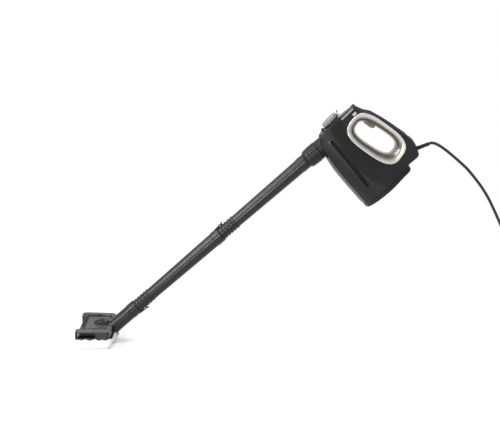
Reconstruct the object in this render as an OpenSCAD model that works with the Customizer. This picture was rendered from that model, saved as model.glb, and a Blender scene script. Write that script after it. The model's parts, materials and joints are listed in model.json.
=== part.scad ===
// Handheld steam cleaner: jug-shaped boiler unit, two extension tubes, tilting floor head with a
// clipped cloth, and a mains lead. Millimetres. Most pieces are drawn in the wand frame, where X runs
// up along the tubes with 0 at the rear end of the lock collar, and Z is 0 on the tube axis.
// placed() then leans the wand and puts the middle of the hand grip on the origin, +Z up.

/* [Stance] */
// Angle between the tubes and the floor
lean = 41.1; // [36:0.5:46]
// Place of the grip's middle along the tube axis
grip_along = 156; // [150:1:160]
// Place of the grip's middle below the tube axis
grip_below = 62.5; // [56:0.5:68]

/* [Body shells] */
// Wall of the two side shells
shell_wall = 2.5; // [2:0.1:3.2]
// Half width of the water tank part at its widest
tank_half_w = 60; // [57:0.5:63]
// Half width of the handle part
handle_half_w = 21; // [20:0.25:23]
// Gap left between trims, strips and shells
seam = 0.3; // [0.2:0.05:0.5]
// Depth of the base pan below the shells
pan_h = 11.5; // [10:0.5:16]
// How far the base pan's standing edge is drawn in
pan_inset = 3; // [1:0.5:6]

/* [Hand opening] */
// Height of the opening above its middle
opening_half_h = 54; // [50:0.5:55]
// Depth of the opening below its middle
opening_low_h = 49; // [47:0.5:54]
// Half width of the opening
opening_half_w = 21.5; // [19:0.5:23]
// Half height of the trim around the opening
trim_half_h = 74; // [73:0.5:75]
// Half width of the trim around the opening
trim_half_w = 39.5; // [38.5:0.25:40.5]
// How far the trim's crest stands out of the shell
trim_proud = 2.6; // [1.5:0.1:4]

/* [Boiler] */
// Outer radius of the boiler tank
boiler_r = 31; // [26:0.5:33]
// Wall of the boiler tank
boiler_wall = 3; // [2:0.25:4]
// Width of the bolted flange
flange_w = 7; // [6.5:0.25:7.5]
// Height of the domed lid above its flange
dome_h = 9; // [6:0.5:10]
// Bore radius of the filler pipe
filler_bore_r = 7.5; // [6:0.25:8]

/* [Filler cap] */
// Radius of the ribbed cap
cap_r = 21; // [18:0.5:22]
// Height of the ribbed cap
cap_h = 9; // [7:0.5:12]
// Number of finger ribs round the cap
cap_ribs = 30; // [20:2:40]
// Lean of the filler neck towards the nozzle
cap_tilt = 4.5; // [0:0.5:6]

/* [Lock collar] */
// Length of the lock collar
collar_l = 38; // [34:0.5:42]
// Greatest radius of the lock collar
collar_r = 23.8; // [23:0.2:25]

/* [Extension tubes] */
// Distance from one tube's socket to the next
tube_pitch = 271; // [240:1:300]
// Outer radius just below the socket
tube_top_r = 17.4; // [17:0.1:17.9]
// Outer radius just above the ribs
tube_end_r = 15.9; // [15.2:0.1:16.4]
// Outer radius of a socket
socket_r = 18.3; // [18:0.1:19]
// Length of a socket's raised collar
socket_l = 21; // [18:0.5:26]
// Radius of the spigot that enters a socket
spigot_r = 13.4; // [12.8:0.1:13.6]
// Length of a spigot
spigot_l = 31; // [28:0.5:33]
// Number of raised rings near a tube's end
ring_count = 5; // [3:1:5]
// Distance between raised rings
ring_pitch = 9.3; // [8:0.1:9.6]
// Length of the tube that ends at the floor head
neck_l = 83; // [80:0.5:86]

/* [Floor head] */
// Length of the head across the direction of travel
head_l = 192; // [184:1:204]
// Width of the head in the direction of travel
head_w = 84; // [80:0.5:88]
// Depth of each cloth clamp along the head
clamp_l = 36; // [32:0.5:38]
// Thickness of the cloth under the head
cloth_t = 11; // [9:0.5:13]

/* [Mains lead] */
// Diameter of the round lead
lead_d = 7; // [6.6:0.1:7.4]
// Mean radius of the innermost turns of the coil
coil_r = 34; // [33:0.5:36]
// Turns in each layer of the coil
coil_turns = 2; // [2:1:2]
// Step from one turn to the next, as a share of the lead's diameter
coil_step = 1.1; // [1.08:0.01:1.2]

/* [Hidden] */
$fn = 48;

// ---- Small tools ----
function mix(a, b, t) = a + (b - a) * t;
function unit(v) = v / norm(v);
// Smooth curve through a table of [place, value] rows
function along_table(rows, x) = (lookup(x - 9, rows) + 2 * lookup(x, rows) + lookup(x + 9, rows)) / 4;
// Catmull-Rom point between rows b and c
function spline4(a, b, c, d, t) =
  0.5 * ((2 * b) + (c - a) * t + (2 * a - 5 * b + 4 * c - d) * t * t + (3 * b - a - 3 * c + d) * t * t * t);
// Open spline through rows, n pieces between neighbours
function spline(rows, n) = [
  for (i = [0:len(rows) - 2]) for (k = [0:n - 1])
    spline4(rows[max(0, i - 1)], rows[i], rows[i + 1], rows[min(len(rows) - 1, i + 2)], k / n),
  rows[len(rows) - 1]
];

// Turns a wand-frame drawing into the part's own frame
module placed() {
  rotate([0, -lean, 0]) translate([-grip_along, 0, grip_below]) children();
}
function placed_point(p) = [
  (p[0] - grip_along) * cos(lean) - (p[2] + grip_below) * sin(lean),
  p[1],
  (p[0] - grip_along) * sin(lean) + (p[2] + grip_below) * cos(lean)
];

// Body of revolution about the wand's X, from [radius, along] points
module lathe(profile) {
  rotate([0, 90, 0]) rotate_extrude() polygon(profile);
}
// Flat outline in X and Z, given thickness across Y
module slab(outline, half_t) {
  translate([0, half_t, 0]) rotate([90, 0, 0]) linear_extrude(2 * half_t) polygon(outline);
}
// Rod from a to b
module rod(a, b, r) {
  v = b - a;
  translate(a) rotate([0, acos(v[2] / norm(v)), atan2(v[1], v[0])]) cylinder(h = norm(v), r = r);
}
// Closed skin between two grids of points that share a rim; wrap joins the last row to the first
module skin(outer, inner, wrap = false) {
  m = len(outer);
  n = len(outer[0]);
  last = wrap ? m - 1 : m - 2;
  function id(s, i, j) = s * m * n + (i % m) * n + j;
  quads = concat(
    [for (i = [0:last], j = [0:n - 2]) [id(0, i, j), id(0, i, j + 1), id(0, i + 1, j + 1), id(0, i + 1, j)]],
    [for (i = [0:last], j = [0:n - 2]) [id(1, i + 1, j), id(1, i + 1, j + 1), id(1, i, j + 1), id(1, i, j)]],
    [for (i = [0:last]) [id(1, i, 0), id(0, i, 0), id(0, i + 1, 0), id(1, i + 1, 0)]],
    [for (i = [0:last]) [id(0, i, n - 1), id(1, i, n - 1), id(1, i + 1, n - 1), id(0, i + 1, n - 1)]],
    wrap ? [] : [for (j = [0:n - 2]) [id(1, 0, j), id(1, 0, j + 1), id(0, 0, j + 1), id(0, 0, j)]],
    wrap ? [] : [for (j = [0:n - 2]) [id(0, m - 1, j), id(0, m - 1, j + 1), id(1, m - 1, j + 1), id(1, m - 1, j)]]
  );
  polyhedron(
    [for (g = [outer, inner]) for (row = g) for (p = row) p],
    [for (q = quads) for (t = [[q[0], q[1], q[2]], [q[0], q[2], q[3]]]) wrap ? [t[2], t[1], t[0]] : t]
  );
}
// Tube of m-sided rings swept along points, closed at both ends
module sweep(points, r, sides) {
  n = len(points);
  ways = [for (i = [0:n - 1]) unit(points[min(n - 1, i + 1)] - points[max(0, i - 1)])];
  rings = [for (i = [0:n - 1])
    let (side = unit(cross(ways[i], [0.02, 0.03, 1])), up = cross(side, ways[i]))
    [for (k = [0:sides - 1]) points[i] + r * (cos(360 * k / sides) * side + sin(360 * k / sides) * up)]];
  quads = [for (i = [0:n - 2], k = [0:sides - 1])
    [i * sides + k, i * sides + (k + 1) % sides, (i + 1) * sides + (k + 1) % sides, (i + 1) * sides + k]];
  polyhedron(
    [for (g = rings) for (p = g) p],
    concat(
      [for (q = quads) for (t = [[q[0], q[1], q[2]], [q[0], q[2], q[3]]]) t],
      [for (k = [1:sides - 2]) [0, k + 1, k]],
      [for (k = [1:sides - 2]) [(n - 1) * sides, (n - 1) * sides + k, (n - 1) * sides + k + 1]]
    )
  );
}

// ---- Body shape, by height below the tube axis: [height, value] ----
FRONT = [[-179, -2], [-165, -4], [-150, -5], [-90, -5], [-60, -4], [-40, -2], [-24, 1], [30, 4]];
SIDE_FRONT = [[-179, -2], [-165, -4], [-150, -5], [-90, -5], [-60, -4], [-40, -3], [-20, -7], [0, -18], [30, -18]];
WIDE_AT = [[-179, 62], [-167, 62], [-120, 45], [-80, 38], [-35, 38], [30, 50]];
BLEND_TO = [[-179, 150], [-167, 150], [-145, 128], [-120, 102], [-80, 90], [-35, 84], [30, 90]];
TANK_W = [[-179, 60], [-167, 60], [-120, 57], [-80, 52], [-35, 43], [0, 35], [30, 28]];
// Half width of the body at a place on its side; inset gives the inside of the wall
function side_w(u, v, inset = 0) =
  let (f = along_table(SIDE_FRONT, v) + inset, m = along_table(WIDE_AT, v), e = along_table(BLEND_TO, v),
       b = along_table(TANK_W, v) + tank_half_w - 60 - inset, h = handle_half_w - inset)
  u < m ? b * pow(max(0.0001, 1 - pow(min(1, (m - u) / (m - f)), 2.2)), 1 / 2.2)
        : h + (b - h) * (0.5 + 0.5 * cos(180 * min(1, (u - m) / (e - m))));

// Rim of a side shell, up the front, over the top, down the back and along the bottom.
// Rows are [along, up, half width at the rim, rounding of the rim, 1 where the wall turns in].
// OPEN rims keep the body's own half width.
OPEN = 99;
shell_bottom = -167;
split = 0.15;
SHELL_RIM = [
  [6, shell_bottom, OPEN, 1, 0], [5, -150, OPEN, 1, 0], [5, -125, OPEN, 1, 0], [5, -100, OPEN, 1, 0],
  [5, -78, OPEN, 1, 0], [6, -55, OPEN, 1, 0], [7, -38, OPEN, 1, 0], [7.5, -24, OPEN, 1, 0],
  [8, -14, 25.5, 5, 1], [9, -2, 24.2, 6, 1], [12, 9, 24.2, 7, 1], [17, 18.5, 24.2, 8, 1],
  [27, 25.5, 24, 8, 1], [45, 27, 23.5, 6, 1], [60, 27.2, 23, 6, 1], [75, 27.2, 19.8, 5, 1],
  [90, 27.2, 17.6, 5, 1], [103, 27, 16.8, 5, 1], [115, 26.8, 15.8, 5, 1], [125, 26.2, 15, 5, 1],
  [131, 23, 14, 5, 1], [134, 17, 13, 5, 1], [138, 8, 13, 6, 1], [143, 0, 13, 6, 1], [150, -9, 13, 6, 1],
  [155, -22, 13, 6, 1], [162, -42, 13, 6, 1], [168, -62, 13, 6, 1], [173, -82, 13, 6, 1],
  [178, -101, 13, 6, 1], [180.5, -111, 13, 6, 1], [182.5, -114, split, 10, 1], [184.5, -126, split, 10, 1],
  [183, -138, split, 10, 1], [181, -147, split, 10, 1], [176.5, -158, split, 8, 1], [172, -165, split, 5, 1],
  [164, shell_bottom, split, 4, 1], [152, shell_bottom, split, 4, 1], [140, shell_bottom, split, 4, 1],
  [136, shell_bottom, OPEN, 1, 0], [124, shell_bottom, OPEN, 1, 0], [108, shell_bottom, OPEN, 1, 0],
  [90, shell_bottom, OPEN, 1, 0], [70, shell_bottom, OPEN, 1, 0], [50, shell_bottom, OPEN, 1, 0],
  [32, shell_bottom, OPEN, 1, 0], [18, shell_bottom, OPEN, 1, 0]
];
rim_n = len(SHELL_RIM);
COVER_ROWS = [12:19];
STRIP_ROWS = [21:30];
function rim_at(i) = let (r = SHELL_RIM[i]) [r[0], r[1]];

// Hand opening and its trim: leaning rounded outlines about one centre
opening_at = [121, -66];
function leaning_radius(way, half_w, half_h, low_h, slant) =
  let (x = way[0] * cos(slant) + way[1] * sin(slant), y = way[1] * cos(slant) - way[0] * sin(slant))
  pow(pow(abs(x / half_w), 3) + pow(abs(y / (y < 0 ? low_h : half_h)), 3), -1 / 3);
function rim_way(i) = unit(rim_at(i) - opening_at);
function trim_r(i) = leaning_radius(rim_way(i), trim_half_w, trim_half_h, trim_half_h, 13.6);
function opening_r(i) = leaning_radius(rim_way(i), opening_half_w, opening_half_h, opening_low_h, 16);
// Rounding of the shell where it meets its rim, 0 at the rim and 1 past the rounding
function edge_rise(d, r) = d >= r ? 1 : sqrt(1 - pow(1 - d / r, 2));

shell_steps = 8;
function shell_grid(inset) = [for (i = [0:rim_n - 1])
  let (row = SHELL_RIM[i], way = rim_way(i), a = rim_at((i + rim_n - 1) % rim_n), b = rim_at((i + 1) % rim_n),
       inward = unit([b[1] - a[1], a[0] - b[0]]),
       k = min(inset, 0.28 * (norm(rim_at(i) - opening_at) - trim_r(i) - seam)),
       start = rim_at(i) + k * row[4] * inward,
       stop = opening_at + (trim_r(i) + seam + k) * way)
  [for (j = [0:shell_steps])
    let (p = mix(start, stop, 1 - cos(90 * j / shell_steps)), w = side_w(p[0], p[1], inset),
         e = min(w, row[2]))
    [p[0], -(e + (w - e) * edge_rise(norm(p - start), row[3])), p[1]]]];

lamp_at = [120, 12];
lamp_size = [12, 7];
lamp_tilt = 3;
module at_lamp() {
  translate([lamp_at[0], -handle_half_w, lamp_at[1]]) rotate([0, -lamp_tilt, 0]) children();
}
// Screws that join the shells, the trigger's pivot and the lead's way out
SCREWS = [[96, -153], [157, -138], [46, 12]];
screw_r = 1.7;
screw_head_r = 3;
boss_r = 4.2;
pivot_at = [127, 10.5];
pivot_r = 2;
pin_half_l = 15;
trigger_half_w = 5;
relief_at = [170, -147.5];
relief_slope = -20;
relief_seat_r = 5.4;
relief_l = 38;
module at_relief() {
  translate([relief_at[0], 0, relief_at[1]]) rotate([0, 90 - relief_slope, 0]) children();
}
// Shell on the near side; screw heads sit in the other one
module side_shell(near) {
  difference() {
    union() {
      skin(shell_grid(0), shell_grid(shell_wall), true);
      for (s = SCREWS)
        translate([s[0], -split, s[1]]) rotate([90, 0, 0]) cylinder(h = side_w(s[0], s[1]) - 1.2, r = boss_r);
      translate([pivot_at[0], -trigger_half_w - 0.8, pivot_at[1]]) rotate([90, 0, 0])
        cylinder(h = handle_half_w - trigger_half_w - 2, r = pivot_r + 1.4);
    }
    for (s = SCREWS) translate([s[0], 1, s[1]]) rotate([90, 0, 0]) cylinder(h = 17, r = screw_r);
    if (!near)
      for (s = SCREWS) translate([s[0], -14, s[1]]) rotate([90, 0, 0]) cylinder(h = 50, r = screw_head_r + 0.3);
    translate([pivot_at[0], 1, pivot_at[1]]) rotate([90, 0, 0]) cylinder(h = pin_half_l + 1.3, r = pivot_r);
    at_relief() translate([0, 0, 2.3]) cylinder(h = 30, r = relief_seat_r + 0.1);
    if (near)
      at_lamp() translate([0, 1, 0]) cube([lamp_size[0] + 0.6, 8, lamp_size[1] + 0.6], center = true);
  }
}
module shell_left() {
  color("#3c3c3e") placed() side_shell(true);
}
module shell_right() {
  color("#3c3c3e") placed() mirror([0, 1, 0]) side_shell(false);
}

// Curved panel between the shells' front rims
module front_panel() {
  levels = [for (k = [0:11]) mix(shell_bottom + 3.5, -24, k / 11)];
  function rim_along(v) = lookup(v, [for (i = [0:7]) [SHELL_RIM[i][1], SHELL_RIM[i][0]]]);
  function bow(v, inset) = let (w = side_w(rim_along(v), v) - inset)
    [for (k = [-5:5]) let (s = k / 5)
      [mix(along_table(FRONT, v) + inset, rim_along(v) - seam, pow(abs(s), 2.2)), s * w, v]];
  color("#57575a") placed() skin([for (v = levels) bow(v, 0)], [for (v = levels) bow(v, shell_wall)]);
}

// Filler cap's place on the top cover, leaning to the nozzle
cap_at = [66, 0, 30];
filler_r = filler_bore_r + 3;
module at_cap() {
  translate(cap_at) rotate([0, -cap_tilt, 0]) children();
}
module top_cover() {
  rim = [for (i = COVER_ROWS) SHELL_RIM[i]];
  last = len(rim) - 1;
  profile = concat([for (r = rim) [r[0], r[1] + 1.2]], [[130.5, 24], [130.5, 21]],
    [for (k = [0:last]) [rim[last - k][0], rim[last - k][1] - shell_wall]]);
  plan = concat([for (r = rim) [r[0], r[2] - seam]], [[131, 13.7], [131, -13.7]],
    [for (k = [0:last]) [rim[last - k][0], seam - rim[last - k][2]]]);
  color("#2a2a2c") placed() difference() {
    union() {
      intersection() {
        slab(profile, 40);
        translate([0, 0, -60]) linear_extrude(120) polygon(plan);
      }
      at_cap() translate([0, 0, -4.5]) cylinder(h = 4.5, r = cap_r - 1.5);
    }
    at_cap() translate([0, 0, -20]) cylinder(h = 40, r = filler_r);
  }
}

// Floor pan under the shells, drawn in to a standing edge
boiler_at = 40;
function pan_half(u, inset) =
  let (end = 137 - inset, r = 15, w = side_w(min(u, end - r), shell_bottom) - 0.8 - inset)
  max(0.5, u > end - r ? w - r + sqrt(max(0, r * r - pow(u - end + r, 2))) : w);
function pan_outline(inset) =
  let (first = along_table(SIDE_FRONT, shell_bottom) + 0.6 + inset, end = 137 - inset,
       places = concat([for (k = [0:9]) mix(first, 62, 1 - cos(9 * k))], [for (k = [0:12]) mix(62, end, sin(7.5 * k))]),
       n = len(places))
  concat([for (u = places) [u, pan_half(u, inset)]],
         [for (k = [1:n]) [places[n - k], -pan_half(places[n - k], inset)]]);
pan_top = shell_bottom - seam;
module base_pan() {
  color("#323234") placed() difference() {
    union() {
      translate([0, 0, pan_top - pan_h + 2.7]) linear_extrude(pan_h - 2.7) polygon(pan_outline(0));
      translate([0, 0, pan_top - pan_h]) linear_extrude(3) polygon(pan_outline(pan_inset));
      intersection() {
        translate([0, 0, pan_top - 1]) linear_extrude(4.2) polygon(pan_outline(0));
        translate([-20, -30, pan_top - 2]) cube([24.5, 60, 10]);
      }
    }
    translate([boiler_at, 0, pan_top - pan_h + 3]) cylinder(h = pan_h, r = boiler_r + 1);
  }
}

module grip_strip() {
  rim = [for (i = STRIP_ROWS) rim_at(i)];
  last = len(rim) - 1;
  across = unit([1, 0.32]);
  back = [for (k = [0:last]) rim[k] + (k == 0 || k == last ? 0.8 : 2.4) * across];
  front = [for (k = [0:last]) rim[last - k] - shell_wall * across];
  color("#1c1c1e") placed() slab(concat(back, front), 13 - seam);
}

// Bright trim round the hand opening, one for each side
trim_wall = 2;
trim_steps = 8;
slot_half_w = 6.6;
function trim_y(g, crest) = crest * pow(max(0, 1 - pow(g, 2.6)), 1 / 2.2);
function trim_grid(inset) = [for (i = [0:rim_n - 1])
  let (way = rim_way(i), outer = opening_at + trim_r(i) * way, inner = opening_at + (opening_r(i) + inset) * way,
       crest = side_w(outer[0], outer[1]) + trim_proud - inset, near = inset > 0 ? 0.1 : 0)
  [for (j = [0:trim_steps])
    let (g = j == 0 ? near : mix(near + 0.012, 1, pow(j / trim_steps, 0.8)), p = mix(outer, inner, g),
         y = j == 0 ? side_w(outer[0], outer[1]) - 2 : j == trim_steps ? split : trim_y(g, crest))
    [p[0], -max(split, y), p[1]]]];
module ring_trim() {
  difference() {
    skin(trim_grid(0), trim_grid(trim_wall), true);
    translate([112, -slot_half_w, -56]) cube([48, 2 * slot_half_w, 56]);
  }
}
module ring_trim_left() {
  color("#b9b2a6") placed() ring_trim();
}
module ring_trim_right() {
  color("#b9b2a6") placed() mirror([0, 1, 0]) ring_trim();
}

bar_l = 38;
bar_h = 4.6;
module side_bars() {
  color("#bfc0c4") placed() for (s = [-1, 1])
    translate([107, s * (handle_half_w + 1.1), 23]) rotate([0, -lamp_tilt, 0]) union() {
      cube([bar_l - bar_h, 1.4, bar_h], center = true);
      for (k = [-1, 1]) translate([k * (bar_l - bar_h) / 2, 0.7, 0]) rotate([90, 0, 0]) cylinder(h = 1.4, r = bar_h / 2);
    }
}
module pilot_lens() {
  color("#f4f4f2") placed() at_lamp() translate([0, 1.1, 0]) cube([lamp_size[0], 3.6, lamp_size[1]], center = true);
}
module pilot_lamp() {
  color("#e08a3c") placed() at_lamp() translate([-6.5, 5.7, 0]) rotate([0, 90, 0]) cylinder(h = 9, r = 2.5);
}

// ---- Boiler, heater and steam way ----
boiler_low = -155;
boiler_top = -62;
flange_t = 3;
seal_t = 1.5;
bolt_count = 6;
bolt_ring = boiler_r + flange_w / 2;
lid_low = boiler_top + seal_t;
filler_in = [56, 0];
outlet_in = [24, 0];
pipe_r = 2.6;
module at_boiler(z) {
  translate([boiler_at, 0, z]) children();
}
module bolts_at() {
  for (k = [0:bolt_count - 1]) rotate(60 * k + 30) translate([bolt_ring, 0, 0]) children();
}
module boiler_tank() {
  color("#c9ccd0") placed() difference() {
    union() {
      at_boiler(boiler_low) cylinder(h = boiler_top - boiler_low, r = boiler_r);
      at_boiler(boiler_top - flange_t) cylinder(h = flange_t, r = boiler_r + flange_w);
      for (k = [-1, 1]) translate([boiler_at, k * 18, pan_top - 2]) cylinder(h = boiler_low - pan_top + 2, r = 4);
    }
    at_boiler(boiler_low + boiler_wall) cylinder(h = 200, r = boiler_r - boiler_wall);
    at_boiler(boiler_top - 10) bolts_at() cylinder(h = 20, r = 1.6);
  }
}
module boiler_seal() {
  color("#a8432f") placed() at_boiler(boiler_top) difference() {
    cylinder(h = seal_t, r = bolt_ring - 2);
    translate([0, 0, -1]) cylinder(h = 5, r = boiler_r - boiler_wall);
  }
}
module boiler_lid() {
  r = boiler_r - 3;
  color("#bfc3c8") placed() difference() {
    union() {
      at_boiler(lid_low) cylinder(h = flange_t, r = boiler_r + flange_w);
      at_boiler(lid_low + flange_t) rotate_extrude()
        polygon([[0, 0], [r, 0], [r, dome_h * 0.45], [r - 5, dome_h * 0.85], [r - 13, dome_h], [0, dome_h]]);
    }
    at_boiler(lid_low - 1) cylinder(h = flange_t + dome_h - 1.5, r = r - 6);
    at_boiler(lid_low - 1) bolts_at() cylinder(h = 20, r = 1.6);
    translate([filler_in[0], 0, lid_low - 1]) cylinder(h = 30, r = filler_r);
    translate([outlet_in[0], 0, lid_low - 1]) cylinder(h = 30, r = pipe_r);
  }
}
module boiler_bolts() {
  color("#8f9296") placed() at_boiler(0) bolts_at() union() {
    translate([0, 0, boiler_top - flange_t - 2.4]) cylinder(h = 2.4, r = 2.8, $fn = 6);
    translate([0, 0, boiler_top - flange_t - 3.5]) cylinder(h = 12.5, r = 1.5);
    translate([0, 0, lid_low + flange_t]) cylinder(h = 2.2, r = 2.6);
  }
}
module heating_element() {
  color("#7c6a58") placed() union() {
    at_boiler(boiler_low - 4) difference() {
      cylinder(h = 4, r = 26);
      translate([0, 0, -1]) cylinder(h = 6, r = 24);
    }
    at_boiler(boiler_low - 4) difference() {
      cylinder(h = 4, r = 24.5);
      translate([0, 0, -1]) cylinder(h = 6, r = 22.4);
    }
    for (k = [-1, 1]) translate([boiler_at + 23.8, k * 4.5, boiler_low - 8]) cylinder(h = 5, r = 1.6);
  }
}
module thermostat() {
  color("#d9d2c4") placed() union() {
    at_boiler(boiler_low - 7) cylinder(h = 7, r = 8.5);
    for (k = [-1, 1]) at_boiler(boiler_low - 11) translate([k * 4, -1.5, 0]) cube([0.8, 3, 5]);
  }
}
module thermal_cutout() {
  color("#e3e0d8") placed() union() {
    translate([boiler_at + boiler_r + 2, 0, -120]) rotate([0, 90, 0]) cylinder(h = 7, r = 7);
    translate([boiler_at + boiler_r + 0.1, -9, -124]) cube([2.5, 18, 8]);
    for (k = [-1, 1]) translate([boiler_at + boiler_r + 8, k * 3.5 - 0.4, -122]) cube([5, 0.8, 3]);
  }
}
filler_path = [[filler_in[0], 0, lid_low - 1.5], [filler_in[0], 0, -40], [67.5, 0, 4]];
module filler_pipe() {
  top = cap_at[2] - 1;
  color("#9a9da2") placed() difference() {
    union() {
      rod(filler_path[0], filler_path[1], filler_r);
      translate(filler_path[1]) sphere(r = filler_r * 1.02);
      rod(filler_path[1], filler_path[2], filler_r);
      translate(filler_path[2]) sphere(r = filler_r * 1.02);
      at_cap() translate([0, 0, filler_path[2][2] - top]) cylinder(h = top - filler_path[2][2] + 1.8, r = filler_r);
    }
    rod(filler_path[0] - [0, 0, 2], filler_path[1], filler_bore_r);
    translate(filler_path[1]) sphere(r = filler_bore_r * 1.02);
    rod(filler_path[1], filler_path[2], filler_bore_r);
    translate(filler_path[2]) sphere(r = filler_bore_r * 1.02);
    at_cap() translate([0, 0, filler_path[2][2] - top]) cylinder(h = 60, r = filler_bore_r);
  }
}
valve_v = 17.5;
valve_r = 6;
valve_from = 84;
valve_to = 108;
STEAM_IN = [[24, 0, lid_low + 2], [24, 0, -50], [24, 0, -36], [30, 10, -24], [52, 16, -10], [76, 12, -5], [87, 4, -2],
  [88, 0, 3], [88, 0, 6], [88, 0, 9]];
STEAM_OUT = [[98, 0, 9], [98, 0, 6], [98, 0, 3], [95, -6, -1], [80, -14, -4], [58, -16, -7], [44, -9, -9], [36, -2, -10],
  [30, 0, -10], [26, 0, -10], [22, 0, -10]];
module steam_pipes() {
  color("#b7774a") placed() union() {
    sweep(spline(STEAM_IN, 3), pipe_r - 0.05, 8);
    sweep(spline(STEAM_OUT, 3), pipe_r - 0.05, 8);
  }
}
stem_r = 2.5;
seal_at = 93;
module valve_body() {
  color("#c9a25a") placed() difference() {
    union() {
      translate([valve_from, 0, valve_v]) rotate([0, 90, 0]) cylinder(h = valve_to - valve_from, r = valve_r);
      translate([88, 0, 9]) cylinder(h = 5, r = 3.6);
      translate([98, 0, 9]) cylinder(h = 5, r = 3.6);
    }
    translate([valve_from + 2, 0, valve_v]) rotate([0, 90, 0]) cylinder(h = 10.3, r = 4.7);
    translate([valve_from + 12, 0, valve_v]) rotate([0, 90, 0]) cylinder(h = 8, r = 3.2);
    translate([valve_from + 15, 0, valve_v]) rotate([0, 90, 0]) cylinder(h = 20, r = stem_r + 0.05);
  }
}
stem_end = 121;
module valve_rod() {
  color("#d8d9dc") placed() union() {
    translate([88.5, 0, valve_v]) rotate([0, 90, 0]) cylinder(h = stem_end - 88.5 - stem_r, r = stem_r);
    translate([stem_end - stem_r, 0, valve_v]) sphere(r = stem_r);
    translate([115.2, 0, valve_v]) rotate([0, 90, 0]) cylinder(h = 1.4, r = 4.6);
  }
}
module valve_seal() {
  color("#2b2b2b") placed() difference() {
    translate([seal_at, 0, valve_v]) rotate([0, 90, 0]) cylinder(h = 3, r = 4.3);
    translate([seal_at - 1, 0, valve_v]) rotate([0, 90, 0]) cylinder(h = 8, r = stem_r);
  }
}
// Coil spring along X: from, length, mean radius, wire radius, turns
function spring_points(from, l, r, turns) = [for (k = [0:turns * 12]) let (a = 30 * k)
  [from[0] + l * k / (turns * 12), from[1] + r * cos(a), from[2] + r * sin(a)]];
module valve_spring() {
  color("#b8bbc0") placed() sweep(spring_points([valve_to + 0.6, 0, valve_v], 3.9, 3.6, 3), 0.4, 6);
}
module trigger() {
  claw = [[122.4, 20.4], [125.4, 21.2], [130, 17], [132, 10], [131.4, 3], [129.6, -6], [128.8, -16], [130, -27],
    [133.5, -36], [138, -44], [136.5, -47], [131, -46], [125.5, -40], [121, -31], [118.8, -21], [118.8, -8],
    [120.4, 0], [122, 7], [121.6, 13]];
  color("#2e2e30") placed() difference() {
    slab(claw, trigger_half_w);
    translate([pivot_at[0], 30, pivot_at[1]]) rotate([90, 0, 0]) cylinder(h = 60, r = pivot_r + 0.05);
  }
}
module trigger_pin() {
  color("#b8bbc0") placed() translate([pivot_at[0], pin_half_l, pivot_at[1]]) rotate([90, 0, 0])
    cylinder(h = 2 * pin_half_l, r = pivot_r);
}
module housing_screws() {
  color("#8b8e93") placed() for (s = SCREWS) translate([s[0], 0, s[1]]) rotate([-90, 0, 0]) union() {
    translate([0, 0, -14]) cylinder(h = 28.5, r = screw_r);
    translate([0, 0, 14]) difference() {
      cylinder(h = 2.4, r = screw_head_r);
      translate([-0.4, -4, 1.4]) cube([0.8, 8, 3]);
      translate([-4, -0.4, 1.4]) cube([8, 0.8, 3]);
    }
  }
}

// ---- Filler cap ----
module cap_tether() {
  color("#222224") placed() at_cap() difference() {
    union() {
      translate([0, 0, 0.3]) cylinder(h = 3.2, r = cap_r);
      translate([-27, 0, 1.4]) sphere(r = 5.4);
      translate([-27, -2.4, 0.5]) cube([10, 4.8, 2.6]);
      translate([17, -4, 0.6]) cube([10, 8, 2]);
    }
    translate([0, 0, -9]) cylinder(h = 30, r = filler_r + 1.2);
    translate([-40, -20, -20]) cube([30, 40, 20.3]);
    translate([-27, 8, 1.6]) rotate([90, 0, 0]) cylinder(h = 16, r = 1);
  }
}
grip_z = 3.8;
module cap_grip() {
  r = cap_r + 0.3;
  color("#c4c7cc") placed() at_cap() difference() {
    union() {
      translate([0, 0, grip_z]) cylinder(h = cap_h - 1.6, r = r);
      translate([0, 0, grip_z + cap_h - 1.6]) cylinder(h = 1.6, r1 = r, r2 = r - 2.4);
    }
    for (k = [0:cap_ribs - 1]) rotate(360 * k / cap_ribs) translate([r + 0.5, 0, 3]) cylinder(h = cap_h + 4, r = 0.9, $fn = 12);
    translate([0, 0, 3]) cylinder(h = grip_z + 0.2, r = filler_r + 0.5);
  }
}
module cap_plug() {
  color("#30343a") placed() at_cap() union() {
    translate([0, 0, 4.6]) cylinder(h = grip_z - 1.4, r = filler_r + 0.5);
    translate([0, 0, -15]) cylinder(h = 20, r = filler_bore_r - 1.4);
    for (k = [0:2]) translate([0, 0, -14 + 3 * k]) cylinder(h = 1.2, r = filler_bore_r - 0.6);
  }
}
module cap_seal() {
  color("#a8432f") placed() at_cap() translate([0, 0, 2.1]) difference() {
    cylinder(h = 2.5, r = filler_r - 0.3);
    translate([0, 0, -1]) cylinder(h = 5, r = filler_bore_r - 1.4);
  }
}

// ---- Nozzle, lock collar and tubes ----
steam_bore = 10.5;
spigot_end = -collar_l - spigot_l;
ring_groove = 9;
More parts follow.
